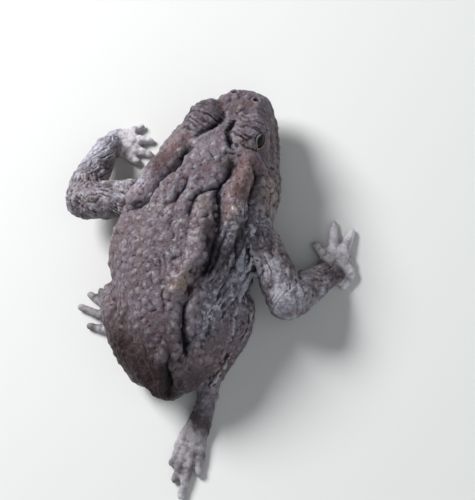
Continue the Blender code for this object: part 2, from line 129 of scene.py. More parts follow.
# Head sections from behind the jaws to the snout: forward, widest height, half width, rise, drop
HEAD = [
    (-6, 11.2, 15, 12.4, 9.2),
    (0, 10.6, 15.9, 12.2, 7.9),
    (5.5, 10.1, 14.9, 11.5, 6.8),
    (10.5, 9.9, 12.8, 10.5, 5.9),
    (14.8, 10, 10.6, 9.2, 5.1),
    (18.2, 10.2, 8.6, 7.9, 4.4),
    (20.8, 10.4, 6.3, 6.6, 3.7),
]

# Limb sections: x, y, z, radius, and for palms and soles x, y, z, half width, half thickness
LIMBS = {
    "right": {
        "upper_arm": [
            (9, 11, 14, 4.8), (16, 9, 14, 5.4), (21.5, 4, 13.6, 5.1), (26.4, -2.2, 12.8, 4.8),
            (30, -7.8, 11, 5.3),
        ],
        "forearm": [
            (30.2, -8, 10.4, 5.3), (32.4, -5, 8.2, 4.9), (34.6, -2.2, 5.8, 4), (36.2, 0.4, 4, 3),
        ],
        "palm": [
            (35.8, -0.4, 3.6, 3.2, 2.6), (37.6, 2.6, 2.3, 4.1, 2.3), (38.4, 5.4, 1.7, 4.2, 1.8),
            (38.6, 7.8, 1.3, 3.4, 1.4),
        ],
        "fingers": [
            [(37, 4.8, 1.8, 1.7), (34.8, 6.9, 1.4, 1.3), (32.4, 9.2, 0.95, 1.15)],
            [(37.2, 6.8, 1.8, 1.7), (36.6, 11, 1.4, 1.3), (36, 15.4, 0.95, 1.15)],
            [(39.4, 7, 1.8, 1.7), (40.2, 10.6, 1.4, 1.35), (41, 13.9, 0.95, 1.15)],
            [(40.2, 5.2, 1.8, 1.7), (42.4, 2.8, 1.4, 1.3), (41.2, -0.4, 0.95, 1.15)],
        ],
        "thigh": [
            (7.6, -29.4, 10.6, 5.4), (9.8, -24.6, 11.3, 6.4), (11.4, -18.4, 11.3, 6.5),
            (15.6, -11.8, 10, 4.8),
        ],
        "shank": [
            (17.4, -11, 6, 4), (16.8, -16, 4.4, 4.1), (14.4, -22.4, 3.9, 3.9),
            (12.6, -28, 3.4, 3.3), (12.2, -31, 3.2, 2.9),
        ],
        "sole": [
            (12.4, -30.4, 3, 2.7, 2.6), (12.2, -36, 2.2, 2.5, 2.2), (11.4, -41, 1.6, 3.3, 1.7),
            (10.8, -44, 1.3, 3.4, 1.4),
        ],
        "toes": [
            [(9.6, -40.6, 1.5, 1.4), (7.8, -43.4, 1.2, 1.15), (6.8, -46.2, 0.85, 1)],
            [(9.6, -42.2, 1.5, 1.4), (7.8, -46.4, 1.2, 1.15), (6.4, -50.6, 0.85, 1)],
            [(10.4, -43.2, 1.5, 1.4), (9, -49, 1.2, 1.15), (8, -54.4, 0.85, 1)],
            [(11.4, -43.4, 1.5, 1.5), (11, -50.6, 1.2, 1.2), (10.4, -58, 0.85, 1)],
            [(12.6, -42.4, 1.5, 1.4), (13.4, -47.2, 1.2, 1.15), (13.8, -52, 0.85, 1)],
        ],
    },
    "left": {
        "upper_arm": [
            (-1, 13.4, 14, 4.8), (-8, 13, 14, 5.3), (-15.5, 12, 13.2, 4.9), (-22, 11.4, 12, 4.9),
            (-27.6, 11.4, 10.4, 5.1),
        ],
        "forearm": [
            (-28.2, 11.8, 10, 5.1), (-28.4, 17, 8.8, 4.8), (-28, 23.2, 6.8, 4), (-27.6, 28.6, 4.6, 3.2),
        ],
        "palm": [
            (-27.8, 27.8, 3.8, 3.2, 2.8), (-26.6, 30.4, 2.4, 4, 2.4), (-24.2, 31.6, 1.7, 4, 1.8),
            (-22.4, 31.8, 1.3, 3.2, 1.4),
        ],
        "fingers": [
            [(-25, 29.8, 1.8, 1.7), (-22.4, 27.8, 1.4, 1.3), (-19.8, 26.4, 0.95, 1.15)],
            [(-23.4, 30.8, 1.8, 1.7), (-19.9, 29.7, 1.4, 1.3), (-16.6, 29, 0.95, 1.15)],
            [(-23.2, 32.2, 1.8, 1.7), (-20, 32.8, 1.4, 1.35), (-17.2, 32.8, 0.95, 1.15)],
            [(-24.6, 33, 1.8, 1.7), (-22.8, 35.2, 1.4, 1.3), (-20.6, 36.6, 0.95, 1.15)],
        ],
        "thigh": [
            (1, -29.8, 10.6, 5.4), (-3, -25.4, 11.4, 6.6), (-7.2, -19.8, 11.8, 6.9),
            (-12, -13.8, 11.2, 5.3),
        ],
        "shank": [
            (-13, -13.8, 8, 4.2), (-11.8, -20, 7.4, 4.3), (-8.2, -26, 6.6, 3.8),
            (-5.4, -30.2, 5.4, 3),
        ],
        "sole": [
            (-4.4, -31, 3, 2.6, 2.5), (-8.6, -25.6, 2.1, 2.6, 2.1), (-12.2, -20.6, 1.6, 3.2, 1.7),
            (-14.4, -17.8, 1.3, 3.3, 1.4),
        ],
        "toes": [
            [(-12.2, -18.4, 1.5, 1.4), (-14.6, -14.8, 1.2, 1.15), (-17.6, -11.6, 0.85, 1)],
            [(-13.6, -17.2, 1.5, 1.4), (-17.4, -13.2, 1.2, 1.15), (-21.8, -9.8, 0.85, 1)],
            [(-14.4, -17, 1.5, 1.4), (-19.2, -14, 1.2, 1.15), (-24.6, -11.2, 0.85, 1)],
            [(-14.6, -18, 1.5, 1.5), (-20.2, -16.4, 1.2, 1.2), (-26.4, -14.8, 0.85, 1)],
            [(-14, -19.4, 1.5, 1.4), (-18.4, -19.8, 1.2, 1.15), (-22.8, -19.4, 0.85, 1)],
        ],
    },
}

# Glands behind the eyes, from head to shoulder: x, y, z, half width
GLANDS = {
    "right": [
        (17.4, 23, 23, 2.7), (17.6, 19, 24, 3.6), (17.1, 15, 24.8, 4.2), (17.2, 11, 24.8, 3.8),
        (18, 6.8, 24.4, 3.5),
    ],
    "left": [
        (-2.4, 25.8, 22.8, 2.4), (-4.8, 21.8, 22.6, 3.9), (-7.4, 16.2, 23.2, 4.4), (-10.6, 10.8, 22.4, 3.4),
    ],
}

# Folds of the loose skin: half width of the valley, its depth, depth of the crease along its bottom,
# rise of the skin on its left and right as seen along its course, and its course
FOLDS = [
    (1.9, 1.1, 0.7, 0.45, 0.10, [
        (14.9, 22.5, 22.7), (13.9, 19.6, 23.4), (12.9, 16.2, 23.8), (12.1, 13.3, 24.5), (12.9, 9.2, 25.4),
        (13.3, 4.8, 25.8),
    ]),
    (2.9, 2, 0.75, 0, 1.2, [
        (12.9, 9.2, 25.4), (13.4, 4.8, 25.8), (13.1, 0.6, 24.4), (12.9, -3.9, 24.5), (11.6, -9.3, 25.1),
        (10.1, -12.9, 25), (9.2, -16.6, 23.7),
    ]),
    (1.8, 1.2, 1.3, 0.5, 0.2, [
        (9.6, -13.4, 25), (9, -16.6, 23.7), (8.7, -20.4, 21.9), (9.3, -23.5, 19.8), (9.7, -27.1, 16.7),
    ]),
    (1.2, 0.5, 0.5, 0.15, 0.35, [
        (11.8, 14.5, 24.5), (9, 12.2, 26.4), (7.6, 10.1, 26.9), (6.3, 7.8, 27.2), (6.6, 4.6, 27.9),
    ]),
    (1.9, 1.4, 0.4, 0, 0.3, [
        (18.6, 23.9, 22.3), (20.4, 20, 22.4), (20.6, 14.5, 23.3), (20.9, 9.3, 23.2), (20.2, 4.9, 22.2),
        (19.5, 1.6, 22),
    ]),
    (2.1, 1.6, 0.5, 0.1, 0, [
        (2, 26.4, 22.6), (0.4, 22, 24.4), (-1.6, 18, 25.4), (-3.8, 13.3, 25.6), (-6.9, 8.4, 24.9),
        (-11, 5.6, 21.9),
    ]),
    (1.5, 0.9, 0.3, 0.1, 0.2, [
        (-6.4, 25.4, 18.4), (-9.8, 20.4, 18.8), (-12, 15.4, 19.4), (-13.4, 10.6, 19),
    ]),
    (1.7, 0.9, 0.5, 0.5, 0.2, [
        (-12.1, 5.5, 20.6), (-13.3, 1.1, 19.2), (-14, -5, 18), (-13.4, -11, 17),
    ]),
    (1.6, 1, 0.9, 0.3, 0.3, [(6.4, -25.3, 20.6), (5.6, -29.8, 18.2), (5.7, -32.7, 14.6), (5, -36.4, 10.6)]),
    (1.3, 0.35, 0.4, 0.1, 0.1, [(15.6, 4, 24.9), (15.5, -0.3, 24.4), (14.6, -4.7, 24.4), (13.2, -9, 23.6)]),
    (1.3, 0.6, 0.5, 0.1, 0.2, [
        (18.2, 3.1, 22.8), (18.3, -3.2, 21), (17.1, -9, 20.6), (14.6, -14, 20),
    ]),
    (1.5, 0.9, 0.4, 0.35, 0.3, [(20.6, 3.6, 19), (20.3, -1.9, 17.5), (19.6, -7.1, 15.1), (17.6, -12, 14.6)]),
    (1.4, 0.6, 0.1, 0.1, 0.2, [(10.6, 23, 23.7), (13, 23.6, 23), (15.4, 22.8, 22.6)]),
    (1.2, 0.6, 0.4, 0.1, 0.2, [
        (10.7, 34.3, 19.5), (10.2, 32.3, 20.5), (10.4, 29.3, 21.4), (11.7, 25.8, 22.2), (13.5, 23.9, 22.6),
    ]),
    (1.2, 0.6, 0.3, 0.2, 0.1, [
        (7.9, 35, 19.5), (7.3, 33.1, 20.5), (5.7, 30.5, 21.4), (2.8, 28.2, 22.2), (0.3, 27.4, 22.6),
    ]),
    (1, 0.6, 0.3, 0, 0.4, [(19, -11.1, 13.1), (18.2, -16.7, 11.9), (16.8, -21.4, 10.4), (14.6, -26, 9)]),
    (1.6, 0.7, 0.3, 0.2, 0.2, [(4, 16, 25.6), (2.6, 11, 26.6), (0, 6, 27)]),
]

# Thin ragged edges of loose old skin
EDGES = [
    [(18.8, -11.2, 13.4), (18.5, -13.6, 13.5), (18.3, -15.8, 13.1), (18.1, -18.3, 11.1), (17.1, -20.1, 7.7)],
    [(19.8, -10.1, 7.8), (20.7, -12.7, 7.5), (20.9, -14.7, 6.4), (20.4, -17.1, 5.8), (19.4, -19.8, 5.7)],
    [(20.6, 3, 19.6), (21, -0.6, 17.4), (21, -3.8, 15)],
    [(18, -22, 6.6), (16.4, -25.6, 5.9), (15, -29.1, 5.6), (13.7, -32, 5.3)],
    [(-15.6, 6, 19), (-17.2, 1, 17), (-17.4, -4, 15)],
]

# Coloured patches: x, y, z, radius, strength
PATCHES = {
    "pale": [
        (22, 16.4, 17, 4.4, 0.7), (23, 11, 15.4, 4.2, 0.7), (-17, 22, 14, 4, 0.4),
        (10.2, 9, 26.4, 3.4, 0.35), (8, -9.5, 26, 3, 0.3), (16.4, 25.6, 22, 1.8, 0.5),
        (14.2, 27.4, 23, 1.6, 0.4), (22.3, 2.6, 14, 2.2, 0.6), (29.1, -4, 13, 2.2, 0.5),
    ],
    "frost": [
        (-8.8, 13.6, 24, 3.2, 0.6), (-10.9, 10.4, 22.6, 3, 0.4), (-28.4, 25.4, 9.4, 5.4, 0.95),
        (-28, 31.2, 5, 4.4, 0.95), (-28.6, 20, 10.6, 3.6, 0.5), (27.5, -5.5, 13, 3, 0.5),
        (31, -7.8, 13, 4.6, 1), (19.6, -3, 15, 4.6, 1), (16.6, -5.5, 18, 4.2, 0.45),
        (19.4, -10.3, 13.4, 3.2, 0.5), (17.6, 0.6, 19.6, 3, 0.35), (16.8, -12, 17, 3, 0.3),
        (6, 24, 24, 5, 0.2), (13.4, -19.4, 17, 3.4, 0.3), (-16.5, 2, 17, 3.4, 0.3),
        (-15, -6, 18, 3.4, 0.25),
    ],
    "tan": [
        (17.9, 7.6, 25.2, 2.8, 1), (17.9, 5.2, 24.6, 2, 0.8), (17.8, 16, 24.6, 2.4, 0.15),
        (8.4, -11.7, 26, 2.6, 0.55), (12.8, 6, 26, 1.6, 0.3),
    ],
    "red": [
        (18.2, 21.6, 24, 2.6, 0.9), (6.9, 19.4, 24.4, 1.3, 0.9), (8.1, 17.8, 25.2, 1.4, 0.9),
        (7.6, 24.1, 23.8, 1.2, 0.5), (9, 24.9, 23.6, 1.2, 0.5), (3, 15, 26, 1.5, 0.5),
        (2, 8, 27, 1.8, 0.4), (-11.2, 8.2, 20.6, 1.6, 0.5), (19.6, 22.4, 19.8, 2.2, 0.7),
        (9.6, 27, 22.6, 1.6, 0.5),
    ],
    # Partly the toad's own dark blotches and partly painted shade, on the rump, beside the furrows and on
    # the right flank
    "dark": [
        (-7.4, -26.7, 14, 10.5, 1), (-2.4, -30.4, 14.4, 10, 1), (3.4, -34, 13, 9.5, 1),
        (-11.6, -22.4, 14.5, 6, 0.7), (10, -31, 12, 6.5, 0.7), (2, -24, 20, 7, 0.45),
        (16, -6, 22.6, 6, 0.35), (15, -2, 24, 4, 0.9), (18.8, 2.4, 22.4, 4, 0.6),
        (12.4, 20.6, 24, 3.4, 0.6), (21.4, 8.6, 21.6, 3, 0.6), (-9, 8, 22.6, 3, 0.4),
        (11.4, -42, 2, 8, 0.75), (10, -50, 1.5, 10, 0.65), (-20, 11.4, 12, 5, 0.5),
        (-24, 22, 9, 3, 0.6), (-20, -14, 1.6, 10, 0.75), (38, 4, 3, 5, 0.5),
        (1.9, 34, 23.5, 5, 0.32), (11.3, 2.2, 26, 3.4, 0.55), (-5.4, 20, 24, 4, 0.3),
        (22.6, 14, 20, 3.4, 0.35), (22.6, 19.4, 15.4, 2.4, 0.3), (27.1, -0.8, 14, 4, 0.42),
        (29.4, -2.9, 13, 2.4, 0.5), (17.5, 13, 25, 2.6, 0.35), (14.6, -21.4, 19, 4, 0.3),
    ],
}

# Large pale warts, most of them on the sides of the neck: x, y, z, radius
PALE_WARTS = [
    (21.1, 18.5, 19.8, 1.3), (22.4, 19.2, 17, 1.5), (21.9, 16, 18.4, 1.2), (23.1, 16.1, 14.3, 1.7),
    (22.1, 12.3, 18.8, 1.5), (23.2, 12.9, 13, 1.5), (23.1, 9.1, 16.2, 1.4), (22.6, 21.4, 14.2, 1.1),
    (22.8, 19.4, 12, 1.2), (-10.6, 21, 15.4, 1.5), (-11.6, 17.4, 16, 1.3), (-9, 24, 15, 1.2),
    (-12.4, 18.4, 12.4, 1.4), (-10.6, 24.6, 12, 1.2), (14.6, -26.6, 14.6, 1.4), (13.4, -18.6, 18.6, 1),
]

# The fingers, then the toes, of each side
DIGITS = [digit for rows in LIMBS.values() for digit in rows["fingers"] + rows["toes"]]

# Marks of the skin that its finish reads
SKIN_MARKS = (
    "arm", "foot", "digit", "belly", "gland", "wart", "furrow", "cavity", "hollow", "pale", "frost", "tan",
    "red", "dark", "mouth", "drum", "rim", "lid", "flank", "edge", "groove", "roll",
)


class ToadForm(bpy.types.PropertyGroup):
    """Sizes of the toad's skin."""

    grain: FloatProperty(
        name="Grain", description="Edge of the mesh that the skin is shaped from",
        default=0.0004, min=0.0003, max=0.001, precision=5, unit="LENGTH", subtype="DISTANCE",
    )
    gland_height: FloatProperty(
        name="Gland height", description="How far the glands behind the eyes stand out",
        default=0.0020, min=0, max=0.004, precision=5, unit="LENGTH", subtype="DISTANCE",
    )
    fold_depth: FloatProperty(
        name="Fold depth", description="Depth of the folds of loose skin, as a share of that in the table",
        default=1.0, min=0, max=1.6, subtype="FACTOR",
    )
    wart_height: FloatProperty(
        name="Wart height", description="Height of a wart, as a share of its radius",
        default=0.38, min=0, max=1, subtype="FACTOR",
    )
    wart_seed: IntProperty(
        name="Wart seed", description="Draws another scatter of warts", default=8, min=0,
    )
    web_share: FloatProperty(
        name="Webbing", description="How far along the toes the webbing reaches",
        default=WEB_SHARE, min=0.2, max=0.9, subtype="FACTOR",
    )


class ToadColours(bpy.types.PropertyGroup):
    """Colours of the toad's skin."""

    back: FloatVectorProperty(
        name="Back", description="Violet brown of the back",
        default=(0.152, 0.122, 0.143), min=0, max=1, subtype="COLOR",
    )
    brown: FloatVectorProperty(
        name="Brown", description="Warmer brown that clouds the back",
        default=(0.118, 0.084, 0.078), min=0, max=1, subtype="COLOR",
    )
    slate: FloatVectorProperty(
        name="Slate", description="Cool grey of the flanks and folds",
        default=(0.092, 0.094, 0.120), min=0, max=1, subtype="COLOR",
    )
    limb: FloatVectorProperty(
        name="Limbs", description="Grey of the arms and legs",
        default=(0.270, 0.255, 0.280), min=0, max=1, subtype="COLOR",
    )
    # Also laid along the thin edges of loose skin, partly as painted highlight
    digit: FloatVectorProperty(
        name="Digits", description="Pale grey of the fingers and toes",
        default=(0.700, 0.660, 0.690), min=0, max=1, subtype="COLOR",
    )
    pale: FloatVectorProperty(
        name="Pale patches", description="Yellowish grey of the neck warts and worn places",
        default=(0.400, 0.345, 0.285), min=0, max=1, subtype="COLOR",
    )
    # Besides the loose old skin, this bluish grey is laid on the tops of the bumps and in the right flank's
    # pale mottles as painted highlight
    frost: FloatVectorProperty(
        name="Frosted patches",
        description="Bluish grey of the loose old skin on the arms, hands and right flank",
        default=(0.500, 0.490, 0.570), min=0, max=1, subtype="COLOR",
    )
    # Also laid faintly on the rolled edges of the folds, partly as painted sheen
    tan: FloatVectorProperty(
        name="Tan patches", description="Orange tan on the glands",
        default=(0.360, 0.225, 0.150), min=0, max=1, subtype="COLOR",
    )
    # Also laid in the shallower hollows between warts as painted shade
    red: FloatVectorProperty(
        name="Red patches", description="Reddish brown of the glands and some warts",
        default=(0.150, 0.080, 0.078), min=0, max=1, subtype="COLOR",
    )
    # This brownish black is partly the toad's own colour, in the pores and blotches, and partly painted
    # shade: in the hollows between warts, the wrinkle grooves, the mouth crease, the nostrils and the dark
    # patches of the rump and beside the furrows
    dark: FloatVectorProperty(
        name="Dark patches",
        description="Brownish black of the rump, the pores and the hollows between warts",
        default=(0.018, 0.010, 0.010), min=0, max=1, subtype="COLOR",
    )
    # Mostly painted shade: this blue black darkens the furrows and the wider hollows, where shade falls; it
    # also darkens some blotches of the right flank
    shade: FloatVectorProperty(
        name="Furrows", description="Blue black of the furrows and of the dark places beside them",
        default=(0.013, 0.013, 0.021), min=0, max=1, subtype="COLOR",
    )
    belly: FloatVectorProperty(
        name="Belly", description="Dull cream of the throat and belly",
        default=(0.420, 0.370, 0.300), min=0, max=1, subtype="COLOR",
    )


class ToadEyes(bpy.types.PropertyGroup):
    """Sizes and colours of the eyes."""

    radius: FloatProperty(
        name="Radius", description="Radius of the eyeball",
        default=EYE_RADIUS * MM, min=0.003, max=0.0045, precision=5, unit="LENGTH", subtype="DISTANCE",
    )
    bulge: FloatProperty(
        name="Bulge", description="How much the clear front stands out, as a share of the radius",
        default=0.045, min=0, max=0.1, subtype="FACTOR",
    )
    iris: FloatVectorProperty(
        name="Iris", description="Copper of the iris",
        default=(0.420, 0.170, 0.045), min=0, max=1, subtype="COLOR",
    )
    gold: FloatVectorProperty(
        name="Gold", description="Rim of the pupil and flecks of the iris",
        default=(0.700, 0.420, 0.130), min=0, max=1, subtype="COLOR",
    )
    white: FloatVectorProperty(
        name="Ball", description="Dull colour of the ball outside the iris",
        default=(0.080, 0.055, 0.045), min=0, max=1, subtype="COLOR",
    )


class ToadStudio(bpy.types.PropertyGroup):
    """The floor, the lights and the camera."""

    floor_size: FloatProperty(
        name="Floor", description="Side of the floor",
        default=6.0, min=1, max=20, unit="LENGTH", subtype="DISTANCE",
    )
    floor_colour: FloatVectorProperty(
        name="Floor colour", description="Pale colour of the floor",
        default=(0.70, 0.69, 0.67), min=0, max=1, subtype="COLOR",
    )
    key_power: FloatProperty(
        name="Key light", description="Power of the soft light ahead of the toad on its left",
        default=8.0, min=0, max=60, unit="POWER",
    )
    fill_power: FloatProperty(
        name="Fill light", description="Power of the very large weak light on the toad's right",
        default=5.6, min=0, max=60, unit="POWER",
    )
    sky_strength: FloatProperty(
        name="Sky", description="Strength of the even light from all round", default=0.12, min=0, max=3,
    )
    distance: FloatProperty(
        name="Camera distance", description="From the camera to the middle of the back",
        default=0.33, min=0.1, max=3, unit="LENGTH", subtype="DISTANCE",
    )
    lens: FloatProperty(
        name="Lens", description="Focal length of the camera in millimetres",
        default=95.04, min=20, max=400, unit="CAMERA",
    )


def baked(obj):
    """The object with its modifiers turned into plain mesh."""
    bpy.context.view_layer.update()
    graph = bpy.context.evaluated_depsgraph_get()
    mesh = bpy.data.meshes.new_from_object(obj.evaluated_get(graph))
    obj.modifiers.clear()
    obj.data = mesh
    return obj


def new_object(name, made):
    """An object from a bmesh, which is freed."""
    mesh = bpy.data.meshes.new(name)
    made.to_mesh(mesh)
    made.free()
    obj = bpy.data.objects.new(name, mesh)
    bpy.context.scene.collection.objects.link(obj)
    return obj


def smooth_rows(rows, steps=5):
    """Rows of numbers with more rows between them, on a Catmull-Rom curve through each column."""
    table = np.array(rows, float)
    padded = np.vstack([2 * table[0] - table[1], table, 2 * table[-1] - table[-2]])
    made = []
    for i in range(1, len(table)):
        a, b, c, d = padded[i - 1 : i + 3]
        for t in np.arange(steps) / steps:
            bend = (2 * a - 5 * b + 4 * c - d) * t**2 + (3 * b - a - 3 * c + d) * t**3
            made.append(0.5 * (2 * b + (c - a) * t + bend))
    return np.array(made + [table[-1]])


def step_between(value, low, high):
    """0 up to low and 1 from high on, with a soft rise between them; low may be the larger."""
    share = np.clip((value - low) / (high - low), 0, 1)
    return share * share * (3 - 2 * share)


def bell(value, width):
    """1 where the value is 0, falling softly to nothing about two widths away."""
    return np.exp(-((value / width) ** 2))


def in_head(forward, aside, height):
    """A place of the head, given from its base along its own turned axis."""
    c, s = math.cos(HEAD_TURN), math.sin(HEAD_TURN)
    return (HEAD_BASE[0] + aside * c + forward * s, HEAD_BASE[1] - aside * s + forward * c, height)


def head_places(points):
    """Forward, aside and height of points, from the base of the head."""
    c, s = math.cos(HEAD_TURN), math.sin(HEAD_TURN)
    x, y = points[:, 0] - HEAD_BASE[0], points[:, 1] - HEAD_BASE[1]
    return x * s + y * c, x * c - y * s, points[:, 2]


def head_ways(side):
    """The head's way forward, and its way out to one side."""
    base = np.array(in_head(0, 0, 0))
    return np.array(in_head(1, 0, 0)) - base, (np.array(in_head(0, 1, 0)) - base) * side


def eye_middle(side):
    """The middle of one eyeball."""
    return np.array(in_head(EYE_PLACE[0], side * EYE_PLACE[1], EYE_PLACE[2]))


def orbit_share(points, side):
    """1 on the surface of one orbit, less inside it and more outside."""
    off = np.column_stack(head_places(points)) - (ORBIT_PLACE[0], side * ORBIT_PLACE[1], ORBIT_PLACE[2])
    return np.linalg.norm(off / np.array(ORBIT_SIZES), axis=1)


def loft(made, rows, sides, square=2.0, blunt=1.0):
    """Adds a closed form through sections of x, y, z, half width, rise and drop."""
    rows = smooth_rows(rows)
    centres = rows[:, :3]
    along = np.gradient(centres, axis=0)
    along /= np.linalg.norm(along, axis=1, keepdims=True)
    caps = []
    for end, sign in ((0, -1), (-1, 1)):
        depth = min(rows[end, 3], rows[end, 4]) * blunt
        caps.append([
            (centres[end] + along[end] * sign * depth * math.sin(a), along[end], rows[end, 3:] * math.cos(a))
            for a in CAP_TURNS[::-sign]
        ])
    sections = caps[0] + list(zip(centres, along, rows[:, 3:])) + caps[1]
    angles = np.arange(sides) / sides * 2 * math.pi
    wide, high = (np.sign(way) * np.abs(way) ** (2 / square) for way in (np.cos(angles), np.sin(angles)))
    rings = []
    for centre, forward, (half_width, rise, drop) in sections:
        across = np.cross(forward, (0, 0, 1))
        across /= np.linalg.norm(across)
        up = np.cross(across, forward)
        lift = np.where(high > 0, rise, drop) * high
        places = centre + np.outer(wide * half_width, across) + np.outer(lift, up)
        rings.append([made.verts.new(Vector(p) * MM) for p in places])
    faces = []
    for a, b in zip(rings, rings[1:]):
        for i in range(sides):
            j = (i + 1) % sides
            faces.append(made.faces.new((a[i], a[j], b[j], b[i])))
    faces += [made.faces.new(rings[0][::-1]), made.faces.new(rings[-1])]
    bmesh.ops.recalc_face_normals(made, faces=faces)


def tube(made, rows, sides=20):
    """Adds a loft of round sections: x, y, z, radius."""
    loft(made, [(x, y, z, r, r, r) for x, y, z, r in rows], sides)


def pad(made, rows):
    """Adds a loft of flat sections: x, y, z, half width, half thickness."""
    loft(made, [(x, y, z, w, t, t) for x, y, z, w, t in rows], 20)


def oval(made, centre, sizes):
    """Adds an oval ball that lies along the head, with its half sizes forward, aside and up."""
    new = bmesh.ops.create_uvsphere(made, u_segments=32, v_segments=16, radius=MM)["verts"]
    bmesh.ops.scale(made, verts=new, vec=sizes)
    bmesh.ops.rotate(made, verts=new, matrix=Matrix.Rotation(math.radians(90) - HEAD_TURN, 3, "Z"))
    bmesh.ops.translate(made, verts=new, vec=Vector(centre) * MM)


def web(made, toe, neighbour, share):
    """Adds a thin sheet between two toes, hollowed at its free edge, as a closed prism."""
    a, b = smooth_rows(toe, 4)[:, :3], smooth_rows(neighbour, 4)[:, :3]
    reach = round(share * (len(a) - 1))
    hollow = (a[reach // 2] + b[reach // 2] + a[reach] + b[reach]) / 4
    outline = [*a[: reach + 1], hollow, *b[: reach + 1][::-1]]
    lift = Vector((0, 0, WEB_THICKNESS / 2))
    top = [made.verts.new((Vector(p) + lift) * MM) for p in outline]
    bottom = [made.verts.new((Vector(p) - lift) * MM) for p in outline]
    faces = [made.faces.new(top), made.faces.new(bottom[::-1])]
    for i in range(len(outline)):
        j = (i + 1) % len(outline)
        faces.append(made.faces.new((top[j], top[i], bottom[i], bottom[j])))
    faces = bmesh.ops.triangulate(made, faces=faces)["faces"]
    bmesh.ops.recalc_face_normals(made, faces=faces)


def noise(points, size, seed):
    """Soft noise between -1 and 1 whose lumps have this size, or these sizes along x, y and z."""
    place = points / np.array(size, float) + seed * SEED_STEP
    cell = np.floor(place).astype(np.int64)
    part = place - cell
    part = part * part * (3 - 2 * part)
    total = np.zeros(len(points))
    for corner in itertools.product((0, 1), repeat=3):
        mixed = np.bitwise_xor.reduce((cell + np.array(corner)) * SCATTER, axis=1)
        mixed = (mixed * SCATTER_AGAIN) & 0xFFFFFFFF
        value = ((mixed >> 9) & 0xFFFF) / 32767.5 - 1
        total += np.prod(np.where(np.array(corner) > 0, part, 1 - part), axis=1) * value
    return total


def along_path(points, path):
    """Distance of points from a path, the way out to them, its course there, and the share of its length."""
    path = np.array(path, float)[:, :3]
    lengths = np.linalg.norm(np.diff(path, axis=0), axis=1)
    starts = np.concatenate([[0], np.cumsum(lengths)])
    best = np.full(len(points), np.inf)
    away = np.zeros((len(points), 3))
    course = np.zeros((len(points), 3))
    share = np.zeros(len(points))
    for a, b, start, length in zip(path, path[1:], starts, lengths):
        way = (b - a) / length
        t = np.clip((points - a) @ way, 0, length)
        off = points - a - np.outer(t, way)
        distance = np.linalg.norm(off, axis=1)
        closer = distance < best
        best[closer], away[closer], course[closer] = distance[closer], off[closer], way
        share[closer] = (start + t[closer]) / starts[-1]
    return best, away, course, share


def thickness_share(points, rows):
    """Distance from a path of places each with its own half width last, in half widths."""
    rows = np.array(rows, float)
    best = np.full(len(points), np.inf)
    for a, b in zip(rows, rows[1:]):
        way = b[:3] - a[:3]
        t = np.clip((points - a[:3]) @ way / (way @ way), 0, 1)
        distance = np.linalg.norm(points - a[:3] - np.outer(t, way), axis=1)
        best = np.minimum(best, distance / (a[-1] + t * (b[-1] - a[-1])))
    return best


def path_length(path):
    """Length of a path."""
    return np.linalg.norm(np.diff(np.array(path)[:, :3], axis=0), axis=1).sum()


def trunk_at(points, *columns):
    """Columns of the table of the trunk, as they are level with each point."""
    table = np.array(TRUNK)[::-1]
    return [np.interp(points[:, 1], table[:, 1], table[:, k]) for k in columns]


def trunk_share(points):
    """About 1 on the surface of the trunk, less inside it and more outside."""
    x, z, wide, rise, drop = trunk_at(points, 0, 2, 3, 4, 5)
    across = np.abs(points[:, 0] - x) / wide
    high = points[:, 2] - z
    high = np.where(high > 0, high / rise, -high / drop)
    return (across**SQUARENESS + high**SQUARENESS) ** (1 / SQUARENESS)


def toad_shells(web_share):
    """All the closed forms of the body in one bmesh, still one inside another."""
    made = bmesh.new()
    loft(made, TRUNK, TRUNK_SIDES, SQUARENESS)
    loft(made, [(*in_head(f, 0, h), w, r, d) for f, h, w, r, d in HEAD], TRUNK_SIDES, SQUARENESS, 0.5)
    forward, aside, height = ORBIT_PLACE
    for side in (1, -1):
        oval(made, in_head(forward, side * aside, height), ORBIT_SIZES)
    for rows in LIMBS.values():
        for name in ("upper_arm", "forearm", "thigh", "shank"):
            tube(made, rows[name])
        for name in ("palm", "sole"):
            pad(made, rows[name])
        for digit in rows["fingers"] + rows["toes"]:
            tube(made, digit, 16)
        for a, b in zip(rows["toes"], rows["toes"][1:]):
            web(made, a, b, web_share)
    return made


